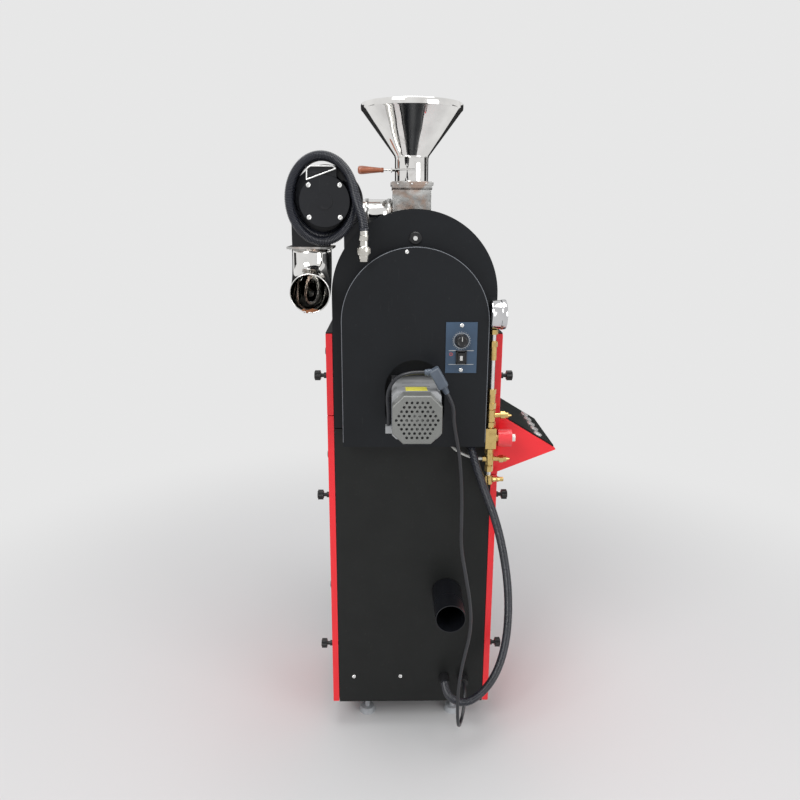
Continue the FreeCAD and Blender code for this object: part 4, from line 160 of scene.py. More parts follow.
class Graph:
    """Node tree of one material, with one method that makes any node."""

    def __init__(self, tree: bpy.types.NodeTree) -> None:
        """Take over a node tree and clear it."""
        self.tree = tree
        tree.nodes.clear()
        self._coords: bpy.types.Node | None = None

    def node(self, kind: str, settings: dict | None = None,
             inputs: dict | None = None) -> bpy.types.Node:
        """Make a node.

        Args:
            kind: the node's type name.
            settings: attributes that are set first.
            inputs: values, sockets or Value objects by input name or index.

        Returns:
            The new node.
        """
        node = self.tree.nodes.new(kind)
        for name, setting in (settings or {}).items():
            setattr(node, name, setting)
        for key, given in (inputs or {}).items():
            target = node.inputs[key]
            if isinstance(given, Value):
                self.tree.links.new(given.socket, target)
            elif isinstance(given, bpy.types.NodeSocket):
                self.tree.links.new(given, target)
            else:
                target.default_value = given
        return node

    def place(self, scale: Sequence[float] = (1, 1, 1),
              shift: Sequence[float] = (0, 0, 0)) -> bpy.types.NodeSocket:
        """Object coordinates in metres.

        Args:
            scale: factor along each axis.
            shift: offset along each axis, added after the scale.

        Returns:
            A vector socket.
        """
        if self._coords is None:
            self._coords = self.node("ShaderNodeTexCoord")
        mapping = self.node("ShaderNodeMapping", {}, {
            0: self._coords.outputs["Object"], "Location": shift, "Scale": scale})
        return mapping.outputs[0]

    def part(self, axis: int) -> Value:
        """One Object coordinate, in metres."""
        split = self.node("ShaderNodeSeparateXYZ", {}, {0: self.place()})
        return Value(self, split.outputs[axis])

    def noise(self, scale: float, detail: float = 4.0, stretch: Sequence[float] = (1, 1, 1),
              rough: float = 0.55, warp: float = 0.0) -> Value:
        """Noise between 0 and 1.

        Args:
            scale: how many grains there are in a metre.
            detail: how many finer layers are added.
            stretch: factor along each axis; a small one draws the grains out.
            rough: weight of the finer layers.
            warp: how much the pattern is distorted.

        Returns:
            The noise as a number.
        """
        node = self.node("ShaderNodeTexNoise", {}, {
            "Vector": self.place(stretch), "Scale": scale, "Detail": detail,
            "Roughness": rough, "Distortion": warp})
        return Value(self, node.outputs["Fac"])

    def blend(self, share: Value | float, first: object, second: object) -> bpy.types.NodeSocket:
        """Colour between two colours.

        Args:
            share: share of the second colour, from 0 to 1.
            first: colour or socket at a share of 0.
            second: colour or socket at a share of 1.

        Returns:
            A colour socket.
        """
        def tone(given: object) -> object:
            """A plain colour with its alpha, and a socket as it is."""
            return (*given, 1.0) if isinstance(given, tuple) and len(given) == 3 else given

        node = self.node("ShaderNodeMix", {"data_type": "RGBA"}, {
            0: share, 6: tone(first), 7: tone(second)})
        return node.outputs[2]

    def bump(self, height: Value, depth: float) -> bpy.types.NodeSocket:
        """Normal from a height between 0 and 1 that stands for a depth in metres."""
        return self.node("ShaderNodeBump", {}, {
            "Height": height, "Distance": depth, "Strength": 1.0}).outputs[0]


def shade(colour: Colour, factor: float) -> Colour:
    """A colour made lighter or darker."""
    return tuple(min(1.0, part * factor) for part in colour)


@dataclass(frozen=True)
class Finish:
    """Plain surface: colour that wanders a little, uneven gloss and a fine grain."""

    name: str
    colour: Colour
    rough: float
    metallic: float = 0.0
    coat: float = 0.0
    level: float = 0.5
    mottle: float = 0.12
    mottle_size: float = 14.0
    grain_size: float = 900.0
    grain_depth: float = 0.00004
    spread: float = 0.12

    @property
    def title(self) -> str:
        """Name of the material."""
        return self.name + "_finish"

    def build(self) -> bpy.types.Material:
        """Make the material.

        Returns:
            A node material with this finish.
        """
        material = bpy.data.materials.new(self.title)
        material.use_nodes = True
        graph = Graph(material.node_tree)
        shader = graph.node("ShaderNodeBsdfPrincipled", {}, {
            "Metallic": self.metallic, "Roughness": self.rough, "Coat Weight": self.coat,
            "Coat Roughness": COAT_ROUGHNESS, "Specular IOR Level": self.level})
        self.surface(graph, shader)
        graph.node("ShaderNodeOutputMaterial", {}, {0: shader.outputs[0]})
        return material

    def feed(self, graph: Graph, shader: bpy.types.Node, name: str, given: object) -> None:
        """Link or set one input of the shader.

        Args:
            graph: the material's graph.
            shader: the shader node.
            name: name of its input.
            given: a Value, a socket or a plain setting.
        """
        if isinstance(given, Value):
            given = given.socket
        if isinstance(given, bpy.types.NodeSocket):
            graph.tree.links.new(given, shader.inputs[name])
        else:
            shader.inputs[name].default_value = given

    def tone(self, graph: Graph) -> bpy.types.NodeSocket:
        """Colour that wanders between a darker and a lighter shade."""
        wander = graph.noise(self.mottle_size, 5.0)
        return graph.blend(wander.steps(0.25, 0.75), shade(self.colour, 1 - self.mottle),
                           shade(self.colour, 1 + self.mottle))

    def surface(self, graph: Graph, shader: bpy.types.Node) -> None:
        """Feed the shader's sockets.

        Args:
            graph: the material's graph.
            shader: its shader node.
        """
        self.feed(graph, shader, "Base Color", self.tone(graph))
        patches = graph.noise(self.mottle_size * 2.3, 6.0)
        self.feed(graph, shader, "Roughness",
                  patches * (2 * self.spread) + (self.rough - self.spread))
        grain = graph.noise(self.grain_size, 2.0)
        self.feed(graph, shader, "Normal", graph.bump(grain, self.grain_depth))


@dataclass(frozen=True)
class Paint(Finish):
    """Sprayed sheet: slight orange peel, wiping marks, a little dust and fine scratches."""

    scratches: float = 0.5
    scratch_size: float = 60.0
    scratch_lines: Sequence[float] = (9.0, 9.0, 0.35)
    dust: Colour = (0.30, 0.29, 0.27)
    dust_share: float = 0.02
    dust_size: float = 160.0
    wiping_size: float = 9.0
    peel_size: float = 260.0

    def surface(self, graph: Graph, shader: bpy.types.Node) -> None:
        """Feed the shader's sockets.

        Args:
            graph: the material's graph.
            shader: its shader node.
        """
        wiping = graph.noise(self.wiping_size, 5.0)
        hair = graph.noise(self.scratch_size, 3.0, self.scratch_lines, warp=0.4).steps(0.68, 0.74)
        dust = graph.noise(self.dust_size, 6.0).steps(0.60, 0.82) * self.dust_share
        self.feed(graph, shader, "Base Color", graph.blend(
            dust + hair * (0.05 * self.scratches), self.tone(graph), self.dust))
        self.feed(graph, shader, "Roughness",
                  wiping * self.spread + hair * 0.15 + (self.rough - self.spread / 2))
        peel = graph.noise(self.peel_size, 2.0) + hair * (-0.6 * self.scratches)
        self.feed(graph, shader, "Normal", graph.bump(peel, self.grain_depth))


@dataclass(frozen=True)
class Polished(Finish):
    """Mirror-bright sheet with soft waves, rolling lines and finger marks."""

    wave: float = 0.0016
    wave_size: float = 16.0
    lines: Sequence[float] = (1.0, 1.0, 1.0)
    line_size: float = 420.0
    tint: Colour = (0.45, 0.42, 0.38)
    mark_size: float = 34.0

    def surface(self, graph: Graph, shader: bpy.types.Node) -> None:
        """Feed the shader's sockets.

        Args:
            graph: the material's graph.
            shader: its shader node.
        """
        marks = graph.noise(self.mark_size, 6.0, warp=0.8).steps(0.55, 0.8)
        self.feed(graph, shader, "Base Color",
                  graph.blend(marks * 0.35, self.tone(graph), self.tint))
        fine = graph.noise(self.line_size, 3.0, self.lines)
        self.feed(graph, shader, "Roughness", marks * 0.16 + fine * 0.05 + self.rough)
        self.feed(graph, shader, "Normal", graph.bump(
            graph.noise(self.wave_size, 1.0) + fine * 0.004, self.wave))


@dataclass(frozen=True)
class Brushed(Finish):
    """Metal with lines along one direction, and stains."""

    lines: Sequence[float] = (1.0, 1.0, 12.0)
    line_size: float = 240.0
    stain: Colour = (0.20, 0.15, 0.11)
    stain_share: float = 0.2
    stain_size: float = 26.0

    def surface(self, graph: Graph, shader: bpy.types.Node) -> None:
        """Feed the shader's sockets.

        Args:
            graph: the material's graph.
            shader: its shader node.
        """
        streak = graph.noise(self.line_size, 4.0, self.lines)
        stain = graph.noise(self.stain_size, 7.0, warp=1.2).steps(0.52, 0.78) * self.stain_share
        clean = graph.blend(streak, shade(self.colour, 1 - self.mottle),
                            shade(self.colour, 1 + self.mottle))
        self.feed(graph, shader, "Base Color", graph.blend(stain, clean, self.stain))
        self.feed(graph, shader, "Roughness", streak * self.spread + stain * 0.6 + (
            self.rough - self.spread / 2))
        self.feed(graph, shader, "Normal", graph.bump(streak, self.grain_depth))


@dataclass(frozen=True)
class Galvanised(Finish):
    """Bare zinced sheet, bright and dull by patches, with heat-tinted areas and soot."""

    tint: Colour = (0.46, 0.30, 0.22)
    soot: Colour = (0.045, 0.042, 0.040)
    patch_size: float = 22.0
    heat_size: float = 13.0
    soot_size: float = 41.0
    pit_size: float = 60.0
    pit_depth: float = 0.00035

    def surface(self, graph: Graph, shader: bpy.types.Node) -> None:
        """Feed the shader's sockets.

        Args:
            graph: the material's graph.
            shader: its shader node.
        """
        patches = graph.noise(self.patch_size, 8.0, warp=1.4)
        heat = graph.noise(self.heat_size, 5.0, warp=0.8).steps(0.50, 0.66)
        soot = graph.noise(self.soot_size, 7.0, warp=1.0).steps(0.56, 0.74)
        sheet = graph.blend(patches.steps(0.3, 0.7), shade(self.colour, 0.55),
                            shade(self.colour, 1.55))
        warm = graph.blend(heat * 0.7, sheet, self.tint)
        self.feed(graph, shader, "Base Color", graph.blend(soot * 0.75, warm, self.soot))
        self.feed(graph, shader, "Roughness", patches.steps(0.3, 0.75) * 0.28 + soot * 0.3 + (
            self.rough - 0.08))
        pits = graph.noise(self.pit_size, 6.0)
        self.feed(graph, shader, "Normal", graph.bump(pits, self.pit_depth))


@dataclass(frozen=True)
class Timber(Finish):
    """Turned and varnished wood with rings and pores along one axis.

    metal_side gives an axis, a limit along it in metres and a sign, where the
    same node is bare steel on that side of the limit.
    """

    dark: Colour = (0.10, 0.03, 0.015)
    steel: Colour = (0.55, 0.55, 0.54)
    along: Sequence[float] = (0.06, 1.0, 1.0)
    ring_size: float = 55.0
    ring_turns: float = 60.0
    pore_size: float = 900.0
    pore_depth: float = 0.00008
    metal_side: tuple[int, float, float] | None = None

    def surface(self, graph: Graph, shader: bpy.types.Node) -> None:
        """Feed the shader's sockets.

        Args:
            graph: the material's graph.
            shader: its shader node.
        """
        growth = graph.noise(self.ring_size, 3.0, self.along, warp=0.5) * self.ring_turns
        rings = growth.sine() * 0.5 + 0.5
        pores = graph.noise(self.pore_size, 2.0, self.along).steps(0.55, 0.7)
        wood = graph.blend(rings * 0.45 + pores * 0.4, self.colour, self.dark)
        rough = rings * 0.12 + (self.rough - 0.06)
        if self.metal_side is None:
            self.feed(graph, shader, "Base Color", wood)
            self.feed(graph, shader, "Roughness", rough)
        else:
            axis, limit, sign = self.metal_side
            metal = (graph.part(axis) * sign) > limit * sign
            self.feed(graph, shader, "Base Color", graph.blend(metal, wood, self.steel))
            self.feed(graph, shader, "Metallic", metal)
            self.feed(graph, shader, "Roughness", rough - metal * 0.05)
        self.feed(graph, shader, "Normal", graph.bump(pores * -1.0, self.pore_depth))


@dataclass(frozen=True)
class Fittings(Finish):
    """Brass fittings with steel stretches between stated heights, as screwed pipe has."""

    steel: Colour = (0.72, 0.72, 0.70)
    tarnish: Colour = (0.26, 0.15, 0.05)
    tarnish_size: float = 70.0
    steel_heights: tuple[tuple[float, float], ...] = ()

    def surface(self, graph: Graph, shader: bpy.types.Node) -> None:
        """Feed the shader's sockets.

        Args:
            graph: the material's graph.
            shader: its shader node.
        """
        height = graph.part(2)
        share: Value | float = 0.0
        for low, high in self.steel_heights:
            share = (height > low) * (height < high) + share
        tarnish = graph.noise(self.tarnish_size, 6.0, warp=0.9).steps(0.45, 0.75)
        brass = graph.blend(tarnish * 0.45, self.colour, self.tarnish)
        self.feed(graph, shader, "Base Color", graph.blend(share, brass, self.steel))
        self.feed(graph, shader, "Roughness", tarnish * 0.22 + self.rough)
        self.feed(graph, shader, "Normal", graph.bump(graph.noise(500.0, 3.0), self.grain_depth))


@dataclass(frozen=True)
class CoilPlastic(Finish):
    """Moulded coil in red, whose end nut is pale and whose neck is brass."""

    nut: Colour = (0.78, 0.76, 0.72)
    nut_start: float = 0.0
    neck: Colour = (0.62, 0.45, 0.18)
    neck_end: float = 0.0

    def surface(self, graph: Graph, shader: bpy.types.Node) -> None:
        """Feed the shader's sockets.

        Args:
            graph: the material's graph.
            shader: its shader node.
        """
        across = graph.part(0)
        on_nut = across > self.nut_start
        on_neck = across < self.neck_end
        colour = graph.blend(on_nut, self.tone(graph), self.nut)
        self.feed(graph, shader, "Base Color", graph.blend(on_neck, colour, self.neck))
        self.feed(graph, shader, "Metallic", on_neck)
        self.feed(graph, shader, "Roughness", graph.noise(60.0) * 0.2 + self.rough)
        self.feed(graph, shader, "Normal", graph.bump(graph.noise(700.0), self.grain_depth))


@dataclass(frozen=True)
class Glass(Finish):
    """Clear cover with faint smears."""

    refraction: float = 1.45
    smear_size: float = 40.0

    def surface(self, graph: Graph, shader: bpy.types.Node) -> None:
        """Feed the shader's sockets.

        Args:
            graph: the material's graph.
            shader: its shader node.
        """
        self.feed(graph, shader, "Transmission Weight", 1.0)
        self.feed(graph, shader, "IOR", self.refraction)
        self.feed(graph, shader, "Base Color", (*self.colour, 1.0))
        smears = graph.noise(self.smear_size, 6.0).steps(0.5, 0.9)
        self.feed(graph, shader, "Roughness", smears * 0.12 + self.rough)


class Look(Enum):
    """The machine's finishes, by the record's slot where there is one."""

    frame_black = Paint("frame_black", (0.010, 0.0105, 0.012), 0.45, level=0.3)
    foot_grey = Finish("foot_grey", (0.46, 0.48, 0.50), 0.5)
    plate_black = Paint("plate_black", (0.0066, 0.0078, 0.0098), 0.36, level=0.25,
                        scratches=0.9, spread=0.14, dust_share=0.03)
    panel_black = Paint("panel_black", (0.0108, 0.0116, 0.0112), 0.40, level=0.25,
                        scratches=0.5, spread=0.14, dust_share=0.03)
    cover_red = Paint("cover_red", (0.86, 0.024, 0.034), 0.30, coat=0.12, level=0.4, mottle=0.025,
                      scratches=0.08, spread=0.04, dust_share=0.004)
    black_plastic = Finish("black_plastic", (0.010, 0.010, 0.011), 0.30, level=0.45)
    drum_steel = Brushed("drum_steel", (0.45, 0.45, 0.45), 0.35, metallic=1.0)
    sprocket_steel = Brushed("sprocket_steel", (0.30, 0.30, 0.31), 0.40, metallic=1.0)
    chain_steel = Brushed("chain_steel", (0.22, 0.21, 0.20), 0.38, metallic=1.0)
    bearing_iron = Finish("bearing_iron", (0.07, 0.07, 0.08), 0.5, metallic=0.6, grain_size=400.0,
                          grain_depth=0.0002)
    motor_aluminium = Finish("motor_aluminium", (0.42, 0.43, 0.44), 0.40, metallic=0.35, mottle=0.2,
                             grain_size=500.0, grain_depth=0.00008)
    cap_grey = Paint("cap_grey", (0.215, 0.22, 0.21), 0.36, metallic=0.35, mottle=0.10,
                     scratches=0.4)
    controller_navy = Paint("controller_navy", (0.040, 0.072, 0.120), 0.36, level=0.45, mottle=0.2,
                            scratches=0.5)
    rocker_plastic = Finish("rocker_plastic", (0.010, 0.010, 0.011), 0.22)
    burner_steel = Brushed("burner_steel", (0.33, 0.31, 0.29), 0.5, metallic=0.9, stain_share=0.6)
    brass_fittings = Fittings("brass_fittings", (0.66, 0.48, 0.19), 0.22, metallic=1.0,
                              steel_heights=((0.626, 0.635), (0.806, 0.864), (0.902, 0.9145)))
    coil_red = CoilPlastic("coil_red", (0.74, 0.035, 0.045), 0.25, coat=0.3,
                           nut_start=0.1669, neck_end=0.1399)
    gauge_chrome = Polished("gauge_chrome", (0.66, 0.66, 0.67), 0.08, metallic=1.0, wave=0.00003)
    tube_grey = Finish("tube_grey", (0.72, 0.72, 0.69), 0.35, metallic=0.1)
    mirror_steel = Polished("mirror_steel", (0.84, 0.83, 0.81), 0.03, metallic=1.0, wave=0.0009,
                            lines=(1.0, 1.0, 0.02))
    turned_wood = Timber("turned_wood", (0.36, 0.115, 0.055), 0.32, coat=0.3,
                         along=(1.0, 0.06, 1.0), metal_side=(1, 0.1055, -1.0))
    grip_wood = Timber("grip_wood", (0.40, 0.125, 0.06), 0.34, coat=0.3)
    chute_steel = Galvanised("chute_steel", (0.42, 0.42, 0.41), 0.20, metallic=1.0)
    blower_black = Paint("blower_black", (0.0065, 0.0072, 0.0095), 0.30, level=0.35, scratches=1.0,
                         grain_depth=0.00006, mottle=0.2, dust_share=0.04)
    impeller_grey = Brushed("impeller_grey", (0.62, 0.63, 0.62), 0.4, metallic=0.4)
    sight_glass = Glass("sight_glass", (0.86, 0.92, 0.90), 0.03)
    tray_steel = Brushed("tray_steel", (0.58, 0.58, 0.59), 0.24, metallic=1.0,
                         lines=(0.1, 0.1, 8.0))
    screen_steel = Brushed("screen_steel", (0.52, 0.52, 0.52), 0.30, metallic=1.0, lines=(1, 8, 1))
    face_black = Finish("face_black", (0.006, 0.009, 0.008), 0.42, level=0.25)
    gland_plastic = Finish("gland_plastic", (0.011, 0.011, 0.012), 0.45)
    screw_steel = Finish("screw_steel", (0.78, 0.78, 0.77), 0.22, metallic=0.9, spread=0.08)
    conduit_black = Finish("conduit_black", (0.019, 0.021, 0.029), 0.27, level=0.7, mottle=0.3)
    cable_black = Finish("cable_black", (0.014, 0.015, 0.019), 0.32, level=0.6, mottle=0.3)
    plug_plastic = Finish("plug_plastic", (0.085, 0.105, 0.135), 0.38, mottle=0.25)
    connector_chrome = Polished("connector_chrome", (0.60, 0.58, 0.54), 0.16, metallic=1.0,
                                wave=0.0003)
    button_silver = Finish("button_silver", (0.80, 0.80, 0.79), 0.22, metallic=0.35, coat=0.3)
    label_yellow = Finish("label_yellow", (0.72, 0.66, 0.10), 0.45)
    print_white = Finish("print_white", (0.62, 0.62, 0.60), 0.5)
    print_red = Finish("print_red", (0.45, 0.10, 0.10), 0.5)
    window_dark = Finish("window_dark", (0.012, 0.03, 0.06), 0.12, coat=0.6)
    edge_light = Finish("edge_light", (0.16, 0.17, 0.19), 0.30)
    dial_white = Finish("dial_white", (0.75, 0.75, 0.73), 0.5)
    dark_inside = Finish("dark_inside", (0.004, 0.004, 0.004), 0.8)
    rust = Finish("rust", (0.30, 0.11, 0.04), 0.8, grain_depth=0.0006, grain_size=300.0)

    @property
    def material(self) -> bpy.types.Material:
        """The finish's material, made once."""
        return bpy.data.materials.get(self.value.title) or self.value.build()


def linked(name: str, data: bpy.types.ID | None) -> bpy.types.Object:
    """New object of the scene that holds some data."""
    thing = bpy.data.objects.new(name, data)
    bpy.context.scene.collection.objects.link(thing)
    return thing


def settled(name: str, mesh: bmesh.types.BMesh) -> bpy.types.Mesh:
    """Mesh data from a bmesh.

    Args:
        name: name of the mesh.
        mesh: the bmesh, which is freed here.

    Returns:
        The mesh data.
    """
    data = bpy.data.meshes.new(name)
    mesh.to_mesh(data)
    mesh.free()
    return data


def facing(axis: Axis | Vector, place: Vector) -> Matrix:
    """Matrix that turns a thing made along Z to a direction and sets it at a place."""
    direction = axis.value if isinstance(axis, Axis) else axis.normalized()
    turn = Vector((0, 0, 1)).rotation_difference(direction).to_matrix().to_4x4()
    return Matrix.Translation(place) @ turn


def piece(name: str, mesh: bmesh.types.BMesh, look: Look, body: str = "frame",
          smooth: float = 35.0) -> bpy.types.Object:
    """Turn a bmesh, already in place, into a finished piece that rides on a body.

    Args:
        name: name of the piece.
        mesh: its shape in the shared frame; it is freed here.
        look: its finish.
        body: the body it rides on.
        smooth: edges flatter than this angle are shaded smooth.

    Returns:
        The new object.
    """
    bmesh.ops.remove_doubles(mesh, verts=mesh.verts, dist=1e-6)
    bmesh.ops.recalc_face_normals(mesh, faces=mesh.faces)
    return dress(name, settled(name, mesh), look, body, smooth)


def dress(name: str, data: bpy.types.Mesh, look: Look, body: str = "frame",
          smooth: float = 35.0) -> bpy.types.Object:
    """Give a mesh its finish, its shading and its body.

    Args:
        name: name of the piece.
        data: its mesh in the shared frame.
        look: its finish, where the mesh has none yet.
        body: the body it rides on.
        smooth: edges flatter than this angle are shaded smooth.

    Returns:
        The new object.
    """
    for polygon in data.polygons:
        polygon.use_smooth = True
    data.set_sharp_from_angle(angle=math.radians(smooth))
    if not data.materials:
        data.materials.append(look.material)
    thing = linked(name, data)
    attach(thing, body)
    LOG.info("%s: %d faces", name, len(data.polygons))
    return thing


def lathe(profile: Sequence[tuple[float, float]], axis: Axis | Vector, place: Vector,
          sides: int = 64) -> bmesh.types.BMesh:
    """Turned shape.

    Args:
        profile: radius and height pairs in millimetres, closed on the axis or on itself.
        axis: direction of the axis.
        place: foot of the axis, in metres.
        sides: number of steps round.

    Returns:
        The shape, in place.
    """
    mesh = bmesh.new()
    rings = []
    for radius, height in profile:
        if radius < ON_AXIS:
            rings.append([mesh.verts.new((0, 0, height / PER_METRE))] * sides)
            continue
        rings.append([mesh.verts.new((radius / PER_METRE * math.cos(2 * math.pi * step / sides),
                                      radius / PER_METRE * math.sin(2 * math.pi * step / sides),
                                      height / PER_METRE)) for step in range(sides)])
    pairs = list(zip(rings, rings[1:]))
    if profile[0][0] > ON_AXIS or profile[-1][0] > ON_AXIS:
        pairs.append((rings[-1], rings[0]))
    for low, high in pairs:
        for step in range(sides):
            after = (step + 1) % sides
            corners = [low[step], low[after], high[after], high[step]]
            unique = list(dict.fromkeys(corners))
            if len(unique) >= 3:
                mesh.faces.new(unique)
    mesh.transform(facing(axis, place))
    return mesh


def block(low: Vector, high: Vector, rounding: float = 0.0, steps: int = 2) -> bmesh.types.BMesh:
    """Block between two corners.

    Args:
        low: its lower corner, in metres.
        high: its upper corner, in metres.
        rounding: radius of its edges, in millimetres.
        steps: number of faces across a rounded edge.

    Returns:
        The shape.
    """
    mesh = bmesh.new()
    bmesh.ops.create_cube(mesh, size=1.0)
    size = high - low
    mesh.transform(Matrix.Translation((low + high) / 2) @ Matrix.Diagonal((*size, 1.0)))
    if rounding:
        bmesh.ops.bevel(mesh, geom=mesh.edges[:], offset=rounding / PER_METRE, segments=steps,
                        affect="EDGES", profile=0.5)
    return mesh


def route_curve(name: str, points: Sequence[Vector], fineness: int) -> bpy.types.Curve:
    """Smooth curve of a cord's route.

    Args:
        name: name of the curve.
        points: the route's own points, in metres.
        fineness: steps to each stretch.

    Returns:
        The curve, with one open spline.
    """
    curve = bpy.data.curves.new(name, "CURVE")
    curve.dimensions = "3D"
    spline = curve.splines.new("NURBS")
    spline.points.add(len(points) - 1)
    for target, point in zip(spline.points, points):
        target.co = (*point, 1.0)
    spline.order_u = 3
    spline.use_endpoint_u = True
    spline.use_smooth = True
    curve.resolution_u = fineness
    return curve


def route_line(name: str, points: Sequence[Vector], fineness: int) -> list[Vector]:
    """Points along the smooth line of a cord's route.

    Args:
        name: name of the cord.
        points: the route's own points, in metres.
        fineness: steps to each stretch.

    Returns:
        Points read from the route's spline.
    """
    curve = route_curve(name + "_route", points, fineness)
    holder = linked(name + "_route", curve)
    bpy.context.view_layer.update()
    line = bpy.data.meshes.new_from_object(holder)
    result = [vertex.co.copy() for vertex in line.vertices]
    bpy.data.objects.remove(holder)
    bpy.data.curves.remove(curve)
    bpy.data.meshes.remove(line)
    return result


def even_steps(line: Sequence[Vector], step: float) -> list[Vector]:
    """The same line in equal steps.

    Args:
        line: points of the line.
        step: wanted length of a step, in metres.

    Returns:
        Points at equal distances along the line, both ends among them.
    """
    lengths = [0.0]
    for before, after in zip(line, line[1:]):
        lengths.append(lengths[-1] + (after - before).length)
    count = max(2, round(lengths[-1] / step))
    result = []
    index = 0
    for number in range(count + 1):
        wanted = lengths[-1] * number / count
        while index < len(lengths) - 2 and lengths[index + 1] < wanted:
            index += 1
        run = lengths[index + 1] - lengths[index]
        share = (wanted - lengths[index]) / run if run else 0.0
        result.append(line[index].lerp(line[index + 1], min(1.0, share)))
    return result


def tube(line: Sequence[Vector], radius: Callable[[int], float],
         sides: int = 16) -> bmesh.types.BMesh:
    """Closed tube round a line.

    Args:
        line: points of its middle, in metres.
        radius: gives the radius in metres at a point's number.
        sides: number of faces round.

    Returns:
        The shape.
    """
    mesh = bmesh.new()
    heading = (line[1] - line[0]).normalized()
    side = heading.orthogonal().normalized()
    rings = []
    for index, point in enumerate(line):
        ahead = line[min(index + 1, len(line) - 1)] - line[max(index - 1, 0)]
        following = ahead.normalized()
        side = heading.rotation_difference(following) @ side
        side = (side - following * side.dot(following)).normalized()
        heading = following
        over = heading.cross(side)
        reach = radius(index)
        turns = (2 * math.pi * step / sides for step in range(sides))
        rings.append([mesh.verts.new(
            point + (side * math.cos(turn) + over * math.sin(turn)) * reach) for turn in turns])
    for low, high in zip(rings, rings[1:]):
        for step in range(sides):
            after = (step + 1) % sides
            mesh.faces.new((low[step], low[after], high[after], high[step]))
    mesh.faces.new(rings[0][::-1])
    mesh.faces.new(rings[-1])
    return mesh


def length_of(line: Sequence[Vector]) -> float:
    """Length of a line of points."""
    return sum((after - before).length for before, after in zip(line, line[1:]))


class Repeater:
    """Geometry node tree that repeats one small shape in a ring or in a row."""

    INPUTS = (("Geometry", "NodeSocketGeometry"), ("Item", "NodeSocketObject"),
              ("Count", "NodeSocketInt"), ("Radius", "NodeSocketFloat"),
              ("Step", "NodeSocketVector"))

    def __init__(self, name: str, look: Look, in_ring: bool) -> None:
        """Build the tree, with its sizes as named inputs.

        Args:
            name: name of the tree.
            look: finish of the repeated shape.
            in_ring: whether it repeats round Z, with X outwards, or in a row.
        """
        self.tree = bpy.data.node_groups.new(name, "GeometryNodeTree")
        face = self.tree.interface
        for title, kind in self.INPUTS:
            face.new_socket(title, in_out="INPUT", socket_type=kind)
        face.new_socket("Geometry", in_out="OUTPUT", socket_type="NodeSocketGeometry")
        nodes, links = self.tree.nodes, self.tree.links
        given = nodes.new("NodeGroupInput")
        result = nodes.new("NodeGroupOutput")
        item = nodes.new("GeometryNodeObjectInfo")
        links.new(given.outputs["Item"], item.inputs["Object"])
        spread = nodes.new("GeometryNodeInstanceOnPoints")
        if in_ring:
            line = nodes.new("GeometryNodeMeshCircle")
            links.new(given.outputs["Count"], line.inputs["Vertices"])
            links.new(given.outputs["Radius"], line.inputs["Radius"])
            where = nodes.new("GeometryNodeInputPosition")
            turn = nodes.new("FunctionNodeAlignRotationToVector")
            turn.axis = "X"
            turn.pivot_axis = "Z"
            links.new(where.outputs[0], turn.inputs["Vector"])
            links.new(turn.outputs[0], spread.inputs["Rotation"])
        else:
            line = nodes.new("GeometryNodeMeshLine")
            links.new(given.outputs["Count"], line.inputs["Count"])
            links.new(given.outputs["Step"], line.inputs["Offset"])
        links.new(line.outputs["Mesh"], spread.inputs["Points"])
        links.new(item.outputs["Geometry"], spread.inputs["Instance"])
        real = nodes.new("GeometryNodeRealizeInstances")
        links.new(spread.outputs["Instances"], real.inputs[0])
        finish = nodes.new("GeometryNodeSetMaterial")
        finish.inputs["Material"].default_value = look.material
        links.new(real.outputs[0], finish.inputs["Geometry"])
        links.new(finish.outputs[0], result.inputs[0])

    def mesh(self, item: bmesh.types.BMesh, count: int, radius: float = 0.0,
             step: Vector | None = None) -> bpy.types.Mesh:
        """Run the tree once.

        Args:
            item: the small shape, which is freed here.
            count: how many there are.
            radius: radius of the ring, in metres.
            step: offset from one to the next in a row, in metres.

        Returns:
            The repeated shape as a plain mesh.
        """
        holder = linked("item", settled("item", item))
        carrier = linked("carrier", bpy.data.meshes.new("carrier"))
        modifier = carrier.modifiers.new("repeat", "NODES")
        modifier.node_group = self.tree
        values = {"Item": holder, "Count": count, "Radius": radius, "Step": step or Vector()}
        for socket in self.tree.interface.items_tree:
            if socket.in_out == "INPUT" and socket.name in values:
                given = values[socket.name]
                modifier[socket.identifier] = list(given) if isinstance(given, Vector) else given
        bpy.context.view_layer.update()
        ready = carrier.evaluated_get(bpy.context.evaluated_depsgraph_get())
        result = bpy.data.meshes.new_from_object(ready)
        carrier.modifiers.clear()
        bpy.data.objects.remove(carrier)
        bpy.data.objects.remove(holder)
        return result


def ring(name: str, item: bmesh.types.BMesh, count: int, radius: float, placed: Matrix,
         look: Look, body: str = "frame") -> bpy.types.Object:
    """Ring of equal small shapes, made by the repeating tree and set in place.

    Args:
        name: name of the piece.
        item: the small shape, along X from the ring's line.
        count: how many there are.
        radius: radius of the ring, in millimetres.
        placed: turns the ring from Z and sets it in place.
        look: its finish.
        body: the body it rides on.

    Returns:
        The new object.
    """
    data = Repeater(name, look, True).mesh(item, count, radius / PER_METRE)
    data.transform(placed)
    return dress(name, data, look, body)


def row(name: str, item: bmesh.types.BMesh, count: int, step: Vector, placed: Matrix,
        look: Look) -> bpy.types.Object:
    """Row of equal small shapes on the frame, made by the repeating tree and set in place.

    Args:
        name: name of the piece.
        item: the small shape.
        count: how many there are.
        step: offset from one to the next, in millimetres.
        placed: turns the row and sets it in place.
        look: its finish.

    Returns:
        The new object.
    """
    data = Repeater(name, look, False).mesh(item, count, 0.0, step / PER_METRE)
    data.transform(placed)
    return dress(name, data, look)


